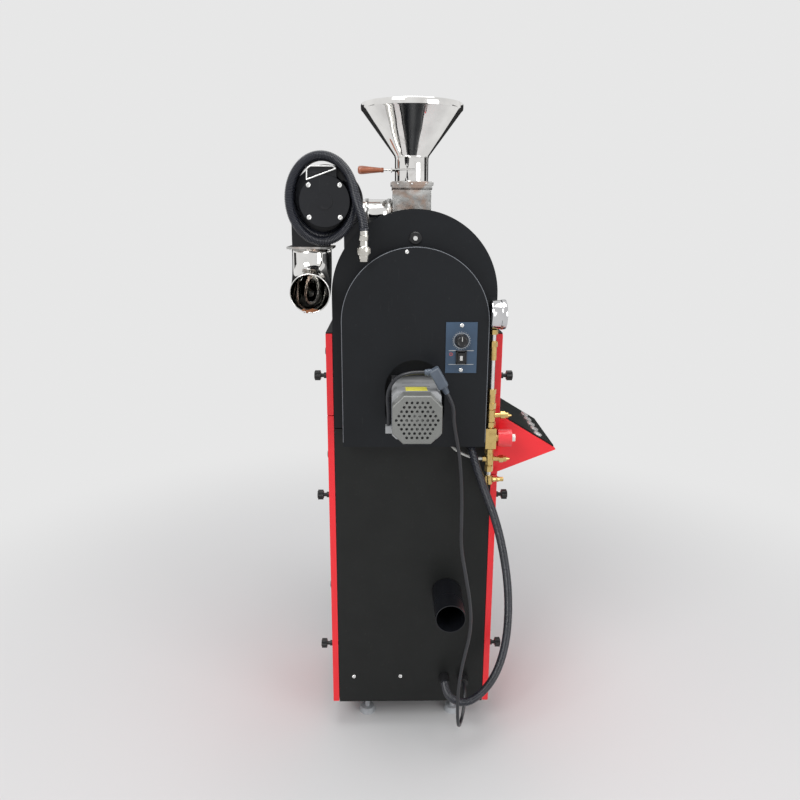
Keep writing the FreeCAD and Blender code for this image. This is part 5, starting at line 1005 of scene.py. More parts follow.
def joined(*meshes: bmesh.types.BMesh) -> bmesh.types.BMesh:
    """Several shapes as one.

    Args:
        meshes: the shapes; all but the first are freed here.

    Returns:
        The first shape, with the others in it.
    """
    whole = meshes[0]
    for extra in meshes[1:]:
        data = settled("extra", extra)
        whole.from_mesh(data)
        bpy.data.meshes.remove(data)
    return whole


def screw_head(radius: float, height: float) -> bmesh.types.BMesh:
    """Domed screw head about Z, with a cross recess, from its seat up.

    Args:
        radius: radius of the head, in millimetres.
        height: its height, in millimetres.

    Returns:
        The shape about its own zero.
    """
    sides, dome, straight = 32, 5, 0.35
    slot_half, slot_reach, slot_depth = radius * 0.16, radius * 0.62, 0.0008
    profile = [(0.0, 0.0), (radius, 0.0), (radius, height * straight)]
    for step in range(1, dome):
        turn = math.pi / 2 * step / dome
        profile.append((radius * math.cos(turn * 0.8),
                        height * (straight + (1 - straight) * math.sin(turn))))
    profile.append((0.0, height))
    head = lathe(profile, Axis.UP, Vector(), sides)
    for vertex in head.verts:
        x, y, z = vertex.co * PER_METRE
        near, far = sorted((abs(x), abs(y)))
        if z > height / 2 and near < slot_half and far < slot_reach:
            vertex.co.z -= slot_depth
    return head


@dataclass
class Funnel:
    """Hopper, chute trim, exhaust duct and elbow: the bright sheet-metal pieces."""

    axis_y: float = 250.2
    rim: float = 108.0
    neck: float = 36.6
    sheet: float = 1.5
    duct_height: float = 1136.0
    duct_radius: float = 32.0
    duct_sheet: float = 1.2
    duct_bend: float = 62.0
    duct_end: Point = (-166.0, 50.0, 1158.3)
    band_places: tuple[float, ...] = (-49.0, -98.0)
    elbow_top: Point = (-199.0, 20.0, 1073.0)
    elbow_straight: float = 20.0
    elbow_bend: float = 60.0
    elbow_turn: float = 80.0
    elbow_radius: float = 38.0
    flange_half: float = 43.0
    flange_hole: float = 30.5
    flange_sheet: float = 4.0
    flakes: int = 26

    def build(self) -> None:
        """Build every piece of the bright sheet metal."""
        self.hopper()
        self.duct()
        self.elbow()
        self.seams()

    def hopper(self) -> None:
        """Spun funnel with a rolled rim, its neck slit for the gate, and the flange below."""
        bore = self.neck - self.sheet
        axis = at(0, self.axis_y, 0)
        funnel = lathe([
            (bore, 1231.6), (self.neck, 1231.6), (self.neck, 1256), (self.neck + 1.5, 1259),
            (self.rim - 1, 1350), (self.rim + 1.6, 1352.5), (self.rim + 2, 1356),
            (self.rim + 2, 1361), (self.rim + 1.2, 1364), (self.rim, 1365),
            (self.rim - 1.5, 1364), (self.rim - 1.8, 1352), (self.rim - 3, 1349),
            (self.neck + 0.6, 1260), (bore, 1257)], Axis.UP, axis, 160)
        low = lathe([
            (bore, 1203), (42, 1203), (42, 1205.5), (self.neck + 1, 1205.5),
            (self.neck, 1206.5), (self.neck, 1228.4), (bore, 1228.4)], Axis.UP, axis, 120)
        bead = lathe([
            (self.neck, 1255), (self.neck + 1.1, 1255.6), (self.neck + 1.3, 1257),
            (self.neck + 0.9, 1258.4), (self.neck, 1258.8)], Axis.UP, axis, 120)
        web = lathe([
            (bore, 1228.2), (self.neck, 1228.2), (self.neck, 1231.8), (bore, 1231.8)],
            Axis.UP, axis, 120)
        # The gate comes in from the left, so the web joins the neck only on the right.
        web_edge = at(4, 0, 0).x
        gone = [vertex for vertex in web.verts if vertex.co.x < web_edge]
        bmesh.ops.delete(web, geom=gone, context="VERTS")
        bmesh.ops.holes_fill(web, edges=web.edges[:], sides=8)
        whole = piece("hopper_sheet", joined(funnel, low, bead, web), Look.mirror_steel, smooth=30)
        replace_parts(whole, "hopper")

    def duct(self) -> None:
        """Exhaust duct with its bend behind the blower, and two clamp bands."""
        first = at(-41.5, self.axis_y, self.duct_height)
        corner = at(self.duct_end[0], self.axis_y, self.duct_height)
        line = rounded(first, corner, at(*self.duct_end), self.duct_bend / PER_METRE)
        shell = open_pipe("exhaust_duct_sheet", line, self.duct_radius, self.duct_sheet, 72)
        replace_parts(shell, "exhaust_duct")
        bands = joined(*(lathe(
            [(32.1, -4), (33.6, -4), (34.1, -3.2), (34.1, 3.2), (33.6, 4), (32.1, 4)],
            Axis.LEFT, at(x, self.axis_y, self.duct_height), 72) for x in self.band_places))
        piece("duct_bands", bands, Look.chute_steel)

    def elbow(self) -> None:
        """Bright elbow under the blower, its square flange and the bolts in it."""
        turn, steps = math.radians(self.elbow_turn), 28
        top = at(*self.elbow_top)
        start = top - metres(0, 0, self.elbow_straight)
        centre = start - metres(0, self.elbow_bend, 0)
        line = [top, top.lerp(start, 0.5)]
        for step in range(steps + 1):
            angle = turn * step / steps
            line.append(centre + metres(0, math.cos(angle), -math.sin(angle)) * self.elbow_bend)
        ahead = Vector((0, -math.sin(turn), -math.cos(turn)))
        line += [line[-1] + ahead * 0.006, line[-1] + ahead * 0.012]
        shell = open_pipe("outlet_elbow_sheet", line, self.elbow_radius, self.sheet, 96)
        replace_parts(shell, "outlet_elbow")
        piece("elbow_flange", self.flange(), Look.chute_steel)
        bolt = screw_head(3.0, 2.4)
        bolt.transform(Matrix.Rotation(math.pi, 4, "X"))
        placed = Matrix.Translation(top) @ Matrix.Rotation(math.radians(45), 4, "Z")
        ring("elbow_bolts", bolt, 4, 51.0, placed, Look.screw_steel)
        self.rust()

    def flange(self) -> bmesh.types.BMesh:
        """Square plate with a round hole.

        Returns:
            The shape, in place on top of the elbow.
        """
        plate = bmesh.new()
        bmesh.ops.create_circle(plate, cap_ends=False, segments=64,
                                radius=self.flange_hole / PER_METRE)
        hole = plate.edges[:]
        half = self.flange_half / PER_METRE
        corners = [plate.verts.new((x * half, y * half, 0))
                   for x, y in ((1, 1), (-1, 1), (-1, -1), (1, -1))]
        rim = [plate.edges.new((corners[index], corners[(index + 1) % 4])) for index in range(4)]
        bmesh.ops.triangle_fill(plate, edges=hole + rim, use_beauty=True)
        extruded = bmesh.ops.extrude_face_region(plate, geom=plate.faces[:])
        raised = [one for one in extruded["geom"] if isinstance(one, bmesh.types.BMVert)]
        bmesh.ops.translate(plate, vec=metres(0, 0, self.flange_sheet), verts=raised)
        plate.transform(Matrix.Translation(at(*self.elbow_top)))
        return plate

    def rust(self) -> None:
        """Flakes of rust that lie low in the elbow's mouth, spread like seeds in a flower."""
        flakes = bmesh.new()
        for number in range(self.flakes):
            spin = number * 2.399
            reach = 0.0105 * math.sqrt(number / self.flakes)
            chip = bmesh.ops.create_icosphere(flakes, subdivisions=1,
                                              radius=0.0014 + 0.0009 * (number % 3))
            shift = Vector((reach * 1.5 * math.cos(spin), 0.004 * math.sin(number * 1.7),
                            0.003 * math.sin(spin * 1.3) - 0.0015))
            bmesh.ops.translate(flakes, verts=chip["verts"], vec=at(-199, -30, 959.6) + shift)
        piece("elbow_rust", flakes, Look.rust)

    def seams(self) -> None:
        """Two weld seams down the chute, the sleeve at its top and the screws in that."""
        low, high = 1108, 1197
        seam = block(at(-41.9, self.axis_y - 41.9, low), at(-40.3, self.axis_y - 40.3, high), 0.3)
        other = block(at(40.3, self.axis_y - 41.9, low), at(41.9, self.axis_y - 40.3, high), 0.3)
        piece("chute_seams", joined(seam, other), Look.chute_steel)
        half, wall, foot, top = 43.4, 1.4, 1188, 1205
        sides = []
        for spin in range(4):
            side = block(metres(-half, -half, foot), metres(half, wall - half, top), 0.4)
            side.transform(Matrix.Rotation(math.radians(90 * spin), 4, "Z"))
            sides.append(side)
        sleeve = joined(*sides)
        sleeve.transform(Matrix.Translation(at(0, self.axis_y, 0)))
        piece("chute_sleeve", sleeve, Look.chute_steel)
        row("chute_screws", screw_head(2.2, 1.8), 3, Vector((30, 0, 0)),
            facing(Axis.REAR, at(-30, self.axis_y - 46, 1200)), Look.screw_steel)


def rounded(first: Vector, corner: Vector, last: Vector, bend: float) -> list[Vector]:
    """Line with one round bend.

    Args:
        first: its start, in metres.
        corner: where its straight stretches would meet.
        last: its end.
        bend: radius of the bend, in metres.

    Returns:
        Points of the line.
    """
    leave = (first - corner).normalized()
    reach = (last - corner).normalized()
    half = (math.pi - leave.angle(reach)) / 2
    back = bend * math.tan(half)
    start = corner + leave * back
    end = corner + reach * back
    centre = corner + (leave + reach).normalized() * (bend / math.cos(half))
    line = [first, first.lerp(start, 0.5), start]
    begin = start - centre
    spin = begin.rotation_difference(end - centre)
    for step in range(1, 24):
        part = Matrix.Rotation(spin.angle * step / 24, 4, spin.axis)
        line.append(centre + part @ begin)
    return line + [end, end.lerp(last, 0.5), last]


def open_pipe(name: str, line: Sequence[Vector], radius: float, wall: float,
              sides: int) -> bpy.types.Object:
    """Bright pipe, open at both ends, whose wall grows inwards.

    Args:
        name: name of the piece.
        line: points of its middle, in metres.
        radius: its outer radius, in millimetres.
        wall: thickness of its sheet, in millimetres.
        sides: number of faces round.

    Returns:
        The new object.
    """
    outer = tube(line, lambda index: radius / PER_METRE, sides)
    caps = [face for face in outer.faces if len(face.verts) > 4]
    bmesh.ops.delete(outer, geom=caps, context="FACES_ONLY")
    thing = dress(name, settled(name, outer), Look.mirror_steel)
    solid = thing.modifiers.new("wall", "SOLIDIFY")
    solid.thickness = wall / PER_METRE
    solid.offset = -1.0
    thing.data = bpy.data.meshes.new_from_object(
        thing.evaluated_get(bpy.context.evaluated_depsgraph_get()))
    thing.modifiers.clear()
    return thing


@dataclass
class Studio:
    """Pale floor, plain background, soft lamps and the camera of the photograph."""

    eye: Point = (-0.0818, -1.5973, 1.1395)
    lens: float = 31.894
    pitch: float = 0.2581
    yaw: float = 0.0195
    roll: float = 0.0048
    backdrop: Colour = (0.80, 0.80, 0.80)
    light: Colour = (0.80, 0.80, 0.82)
    light_strength: float = 0.55
    ground: Colour = (0.70, 0.70, 0.70)
    ground_radius: float = 9.0
    fade_from: float = 0.45
    fade_to: float = 1.9

    def build(self) -> None:
        """Build everything round the object."""
        scene = bpy.context.scene
        scene.view_settings.view_transform = "Standard"
        scene.view_settings.look = "None"
        self.camera()
        self.world()
        self.floor()
        self.lamp("key", (-1.6, -2.4, 2.9), (0, 0, 0.85), 1.5, 52.0)
        self.lamp("fill", (2.2, -2.2, 1.5), (0, 0, 0.85), 1.4, 24.0)
        self.lamp("top", (0.1, -0.2, 3.0), (0, 0, 0.9), 1.8, 34.0)
        self.flag("flag_front", (0.0, 2.3, 1.05), (0, 0, 1.05), (4.6, 1.5))
        self.flag("flag_left", (-2.3, 0.6, 1.15), (0, 0, 1.15), (1.0, 0.5))
        self.flag("flag_right", (2.3, 0.9, 1.0), (0, 0, 1.1), (1.3, 0.9))

    def camera(self) -> None:
        """Camera in the photograph's own place."""
        forward = Vector((math.sin(self.yaw) * math.cos(self.pitch),
                          math.cos(self.yaw) * math.cos(self.pitch), -math.sin(self.pitch)))
        right = Vector((math.cos(self.yaw), -math.sin(self.yaw), 0.0))
        up = right.cross(forward)
        level = math.cos(self.roll) * right + math.sin(self.roll) * up
        upright = -math.sin(self.roll) * right + math.cos(self.roll) * up
        data = bpy.data.cameras.new("photo_camera")
        data.lens = self.lens
        data.sensor_width = 36.0
        data.clip_start = 0.02
        holder = linked("photo_camera", data)
        turn = Matrix((level, upright, -forward)).transposed().to_4x4()
        holder.matrix_world = Matrix.Translation(Vector(self.eye)) @ turn
        bpy.context.scene.camera = holder

    def world(self) -> None:
        """Pale grey for the eye and for reflections, softer for the light on surfaces."""
        world = bpy.data.worlds.new("studio")
        bpy.context.scene.world = world
        world.use_nodes = True
        graph = Graph(world.node_tree)
        seen = graph.node("ShaderNodeBackground", {}, {"Color": (*self.backdrop, 1.0)})
        light = graph.node("ShaderNodeBackground", {}, {
            "Color": (*self.light, 1.0), "Strength": self.light_strength})
        path = graph.node("ShaderNodeLightPath")
        share = path.outputs["Is Camera Ray"]
        for ray in ("Is Glossy Ray", "Is Transmission Ray"):
            share = graph.node("ShaderNodeMath", {"operation": "ADD", "use_clamp": True},
                               {0: share, 1: path.outputs[ray]}).outputs[0]
        mix = graph.node("ShaderNodeMixShader", {}, {
            0: share, 1: light.outputs[0], 2: seen.outputs[0]})
        graph.node("ShaderNodeOutputWorld", {}, {0: mix.outputs[0]})

    def floor(self) -> None:
        """Pale floor that fades into the background."""
        mesh = bmesh.new()
        bmesh.ops.create_circle(mesh, cap_ends=True, segments=96, radius=self.ground_radius)
        data = settled("floor", mesh)
        material = bpy.data.materials.new("floor")
        material.use_nodes = True
        graph = Graph(material.node_tree)
        near = graph.node("ShaderNodeBsdfDiffuse", {}, {"Color": (*self.ground, 1.0)})
        far = graph.node("ShaderNodeEmission", {}, {"Color": (*self.backdrop, 1.0)})
        reach = graph.node("ShaderNodeVectorMath", {"operation": "LENGTH"}, {0: graph.place()})
        fade = graph.node("ShaderNodeMapRange", {"interpolation_type": "SMOOTHSTEP"}, {
            "Value": reach.outputs["Value"], "From Min": self.fade_from,
            "From Max": self.fade_to})
        mix = graph.node("ShaderNodeMixShader", {}, {
            0: fade.outputs["Result"], 1: near.outputs[0], 2: far.outputs[0]})
        graph.node("ShaderNodeOutputMaterial", {}, {0: mix.outputs[0]})
        data.materials.append(material)
        linked("floor", data)

    def aimed(self, place: Point, aim: Point) -> Matrix:
        """Matrix that sets a lamp or a card at a place, with its back to another."""
        turn = (Vector(place) - Vector(aim)).to_track_quat("Z", "Y")
        return Matrix.Translation(Vector(place)) @ turn.to_matrix().to_4x4()

    def lamp(self, name: str, place: Point, aim: Point, size: float, power: float) -> None:
        """Soft square lamp aimed at a point.

        Args:
            name: name of the lamp.
            place: where it stands, in metres.
            aim: the point that it lights.
            size: its side, in metres.
            power: its power, in watts.
        """
        data = bpy.data.lights.new(name, "AREA")
        data.size = size
        data.energy = power
        linked(name, data).matrix_world = self.aimed(place, aim)

    def flag(self, name: str, place: Point, aim: Point, size: tuple[float, float]) -> None:
        """Dark card that only shows in the bright metal.

        Args:
            name: name of the card.
            place: where it stands, in metres.
            aim: the point that it faces.
            size: its width and height, in metres.
        """
        mesh = bmesh.new()
        bmesh.ops.create_grid(mesh, x_segments=1, y_segments=1, size=0.5)
        mesh.transform(self.aimed(place, aim) @ Matrix.Diagonal((*size, 1, 1)))
        data = settled(name, mesh)
        data.materials.append(Look.dark_inside.material)
        card = linked(name, data)
        card.visible_camera = False
        card.visible_shadow = False
        card.visible_diffuse = False


PLUG_MIDDLE = Vector((40, -120, 848))
SUPPLY_AXIS = Vector((math.sin(math.radians(30)), 0, -math.cos(math.radians(30))))


def on_plug(reach: float) -> Point:
    """Place along the leaning plug's axis, in the machine's millimetres."""
    return tuple(PLUG_MIDDLE + SUPPLY_AXIS * reach)


def hose_points() -> list[Point]:
    """Route of the blower's conduit: from its gland, round twice and down.

    Returns:
        The route's points, in the machine's millimetres.
    """
    gland = Vector((-131, -27, 1198))
    points = [tuple(gland), tuple(gland + Vector((1, 0, -1)).normalized() * 12)]
    # Each turn is a little wider than the last, and a thickness further to the rear.
    for angle in range(90, 811, 30):
        turns = (angle - 90) / 360
        swing = math.radians(angle)
        across = 57.3 + 2.4 * turns
        upright = 71 + 4.6 * turns
        points.append((-171 + across * math.sin(swing), -27 - 18.2 * turns,
                       1168 - 4 * turns + upright * math.cos(swing)))
    return points + [(-96, -60, 1125), (-96, -60, 1108)]


@dataclass
class Cords:
    """The ribbed conduits, the two cables and the pieces on them."""

    power_route: tuple[Point, ...] = (
        (100, -24, 846.3), (100, -24, 802), (103, -23, 755), (109, -23, 710), (121, -46, 660),
        (139, -57, 610), (160, -60, 556), (177, -58, 500), (190, -56, 440), (198, -57, 385),
        (201, -60, 330), (199, -64, 275), (190, -68, 222), (173, -73, 178), (147, -80, 146),
        (117, -84, 127), (91, -76, 126), (74, -54, 130), (74, -22, 130))
    supply_route: tuple[Point, ...] = (
        (116, -22, 130), (116, -46, 130), (114, -66, 108), (107, -82, 87), (99, -107, 88),
        (94, -124, 108), (92, -126, 142), (93, -119, 184), (99, -110, 226), (106, -108, 262),
        (113, -112, 302), (115, -118, 346), (111, -118, 394), (101, -110, 450), (92, -99, 502),
        (93, -90, 555), (93, -85, 603), (90, -84, 650), (85, -88, 692), (78, -96, 727),
        (71, -106, 762), on_plug(58), on_plug(34))
    lead_route: tuple[Point, ...] = (
        (-51, -100, 752), (-51, -100, 780), (-54, -103, 806), (-49, -108, 830), (-35, -114, 849),
        (-12, -120, 858.5), (14, -120, 858.5))
    conduit_radius: float = 8.5
    rib_step: float = 0.92
    rib_shares: tuple[float, ...] = (0.84, 0.98, 1.0)
    end_share: float = 0.97
    cable_radius: float = 3.5
    plug_length: float = 40.0
    stub_start: Point = (14.2, -120.0, 858.5)
    connector_top: Point = (-96.0, -60.0, 1108.0)

    def build(self) -> None:
        """Build the conduits, the cables, the plug and the connector."""
        plug = self.plug()
        connector = self.connector()
        self.conduit("power_conduit", self.power_route)
        self.conduit("blower_conduit", hose_points())
        self.cable("supply_cable", self.supply_route)
        self.cable("motor_lead", self.lead_route)

    def conduit(self, name: str, route: Sequence[Point]) -> None:
        """Ribbed plastic conduit along a route.

        Args:
            name: the CAD node that it replaces.
            route: the route's points, in the machine's millimetres.
        """
        points = [at(*point) for point in route]
        line = even_steps(route_line(name, points, 16), self.rib_step / PER_METRE)
        full = self.conduit_radius / PER_METRE

        def reach(index: int) -> float:
            """Radius of one ring of the ribs, which stop short of both ends."""
            ribbed = 4 < index < len(line) - 5
            return full * (self.rib_shares[index % 3] if ribbed else self.end_share)

        whole = piece(name + "_ribbed", tube(line, reach, 20), Look.conduit_black, smooth=50)
        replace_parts(whole, name)
        length_of(line)

    def cable(self, name: str, route: Sequence[Point]) -> None:
        """Smooth round cable, as a curve with a round section.

        Args:
            name: name of the cable.
            route: the route's points, in the machine's millimetres.
        """
        points = [at(*point) for point in route]
        curve = route_curve(name, points, 14)
        curve.bevel_depth = self.cable_radius / PER_METRE
        curve.bevel_resolution = 5
        curve.use_fill_caps = True
        curve.materials.append(Look.cable_black.material)
        thing = linked(name, curve)
        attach(thing, "frame")
        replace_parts(thing, "motor_cable")
        length_of(route_line(name, points, 14))

    def plug(self) -> bpy.types.Object:
        """Leaning inline plug with rounded edges, its ribbed relief and the stub for the lead.

        Returns:
            The plug, which stands in for its CAD node.
        """
        half = self.plug_length / 2
        body = block(metres(-10, -11, -half), metres(10, 11, half), 3.5, 4)
        profile = [(0.0, half)]
        for index in range(5):
            low = half + index * 2.8
            reach = 6.6 - 0.45 * index
            profile += [(reach, low), (reach, low + 1.9), (reach - 1.3, low + 2.0),
                        (reach - 1.3, low + 2.7)]
        profile.append((0.0, half + 14))
        relief = lathe(profile, Axis.UP, Vector(), 32)
        grooves = joined(*(block(metres(-10.4, -6, low), metres(10.4, 6, low + 1.2), 0.3)
                           for low in (-12, -8, -4)))
        whole = joined(body, relief, grooves)
        whole.transform(facing(SUPPLY_AXIS, at(*PLUG_MIDDLE)))
        stub = lathe([(0, 0), (4.2, 0), (5.6, 1.5), (5.6, 5), (6.4, 5.6), (6.4, 15), (5.0, 17),
                      (0, 17)], Axis.RIGHT, at(*self.stub_start), 32)
        plug = piece("plug_moulded", joined(whole, stub), Look.plug_plastic)
        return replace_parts(plug, "motor_plug")

    def connector(self) -> bpy.types.Object:
        """Chromed circular connector with a knurled ring, hanging at the conduit's end.

        Returns:
            The connector's turned body, which stands in for its CAD node.
        """
        top = at(*self.connector_top)
        turned = lathe([
            (0, 0), (7.6, 0), (8.6, 1.0), (8.6, 8), (9.4, 8.6), (9.4, 17), (9.0, 17.6),
            (8.4, 18.2), (8.4, 27), (9.0, 27.8), (11.0, 28.4), (11.6, 30), (11.6, 42),
            (11.0, 43.5), (9.0, 44), (8.8, 50), (8.0, 52), (7.8, 55), (6.6, 55), (6.4, 51),
            (0, 51)], Axis.DOWN, top, 64)
        whole = piece("connector_turned", turned, Look.connector_chrome)
        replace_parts(whole, "blower_connector")
        rib = block(metres(-0.3, -0.28, 0), metres(0.3, 0.28, 9.6), 0.15)
        placed = facing(Axis.DOWN, top) @ Matrix.Translation(metres(0, 0, 31.2))
        ring("connector_knurl", rib, 48, 11.6, placed, Look.connector_chrome)
        return whole


@dataclass
class Drive:
    """Gear motor, its fan cap and the details of the drive cover."""

    height: float = 781.0
    half: float = 45.0
    cut: float = 20.0
    seam_places: tuple[float, ...] = (-68.0, -95.5, -131.5)
    bolt_reach: float = 33.0
    fan_place: float = -149.0
    arch_height: float = 938.0
    arch_radius: float = 140.436
    cover_edge_x: float = 140.4
    cover_foot: float = 700.0
    cover_face: float = -44.7
    # Place of each screw's seat and the radius of its head.
    screw_spots: tuple[tuple[float, float, float, float], ...] = (
        (-128, 0, 134, 4.5), (-24, 0, 134, 4.5), (0, 0, 1093, 6.0), (-17, -45, 1070, 4.0),
        (88.2, -47, 933.7, 4.2), (88.2, -47, 847.3, 4.2),
        (-193.9, -62, 1131.1, 4.6), (-138.1, -62, 1131.1, 4.6),
        (-193.9, -62, 1186.9, 4.6), (-138.1, -62, 1186.9, 4.6))

    def build(self) -> None:
        """Build the details of the drive."""
        self.motor_seams()
        self.cap_inside()
        self.label()
        self.cover_edge()
        self.screws()

    def motor_seams(self) -> None:
        """Seams and bolts of the motor's stacked housings."""
        seams = joined(*(self.band(start, 1.6, 0.7) for start in self.seam_places))
        piece("motor_seams", seams, Look.edge_light)
        bolts = []
        for x in (-self.bolt_reach, self.bolt_reach):
            for z in (-self.bolt_reach, self.bolt_reach):
                head = screw_head(3.2, 2.2)
                head.transform(facing(Axis.REAR, at(x, -135.9, self.height + z)))
                bolts.append(head)
        piece("cap_bolts", joined(*bolts), Look.screw_steel)

    def band(self, y: float, width: float, proud: float) -> bmesh.types.BMesh:
        """Thin band round the chamfered square housing.

        Args:
            y: its front edge, in the machine's millimetres.
            width: its width to the rear.
            proud: how far it stands out of the housing.

        Returns:
            The shape, in place.
        """
        mesh = bmesh.new()
        half, cut, deep = self.half + proud, self.cut, 2.5
        loop = [(half, -half + cut), (half, half - cut), (half - cut, half), (-half + cut, half),
                (-half, half - cut), (-half, -half + cut), (-half + cut, -half),
                (half - cut, -half)]
        outer_front, inner_front, outer_rear, inner_rear = (
            [mesh.verts.new(at(x * scale, y + depth, self.height + z * scale)) for x, z in loop]
            for depth in (0, -width) for scale in (1.0, 1.0 - deep / half))
        for first, second in ((outer_front, outer_rear), (outer_rear, inner_rear),
                              (inner_rear, inner_front), (inner_front, outer_front)):
            for index in range(len(loop)):
                after = (index + 1) % len(loop)
                mesh.faces.new((first[index], first[after], second[after], second[index]))
        return mesh

    def cap_inside(self) -> None:
        """Fan behind the cap's holes: a hub with swept blades."""
        middle = at(0, self.fan_place, self.height)
        blade = block(metres(0, -0.6, -7), metres(24, 0.6, 7), 0.4)
        blade.transform(Matrix.Rotation(math.radians(24), 4, "X"))
        ring("cooling_blades", blade, 9, 10.5, facing(Axis.REAR, middle), Look.impeller_grey)
        hub = lathe([(0, -8), (11, -8), (12, -6), (12, 6), (10, 8), (0, 8)], Axis.REAR, middle, 48)
        piece("cooling_hub", hub, Look.impeller_grey)

    def label(self) -> None:
        """Blank pale yellow label on the motor's top."""
        mesh = block(at(-20, -128, self.height + 45.02), at(20, -99, self.height + 45.35), 0.12)
        piece("motor_label", mesh, Look.label_yellow)

    def cover_edge(self) -> None:
        """Painted highlight: a thin lighter line that stands for the light the drive cover's folded
        edge catches along the arch.
        """
        arch = [at(self.arch_radius * math.cos(turn), self.cover_face,
                   self.arch_height + self.arch_radius * math.sin(turn))
                for turn in (math.pi - math.pi * step / 96 for step in range(97))]
        line = [at(-self.cover_edge_x, self.cover_face, self.cover_foot), *arch,
                at(self.cover_edge_x, self.cover_face, self.cover_foot)]
        # painted highlight: a thin tube in a lighter finish traced along the cover's edge, in place
        # of the light it catches
        bead = tube(line, lambda index: 0.0007, 8)
        piece("cover_bead", bead, Look.edge_light, smooth=80)

    def screws(self) -> None:
        """Pan-head screws, each with its recess turned its own way."""
        heads = []
        for x, y, z, radius in self.screw_spots:
            head = screw_head(radius, 2.9)
            # Any angle will do, as driven screws never stop in line: here it is x in radians.
            head.transform(Matrix.Rotation(x, 4, "Z"))
            head.transform(facing(Axis.REAR, at(x, y, z)))
            heads.append(head)
        whole = piece("screws_detailed", joined(*heads), Look.screw_steel)
        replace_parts(whole, "panel_screws")
        top = 1093
        seat = lathe([(4.5, 0), (11, 0), (12, 1.2), (12, 3.0), (10.6, 4.2), (5.2, 4.2),
                      (4.5, 3.6)], Axis.REAR, at(0, 0, top), 48)
        boss = lathe([(0, 0), (4.9, 0), (4.9, 1.4), (4.2, 4.2), (0, 4.6)], Axis.REAR,
                     at(0, -2.4, top), 40)
        piece("boss_seat", seat, Look.black_plastic)
        piece("boss_screw", boss, Look.screw_steel)


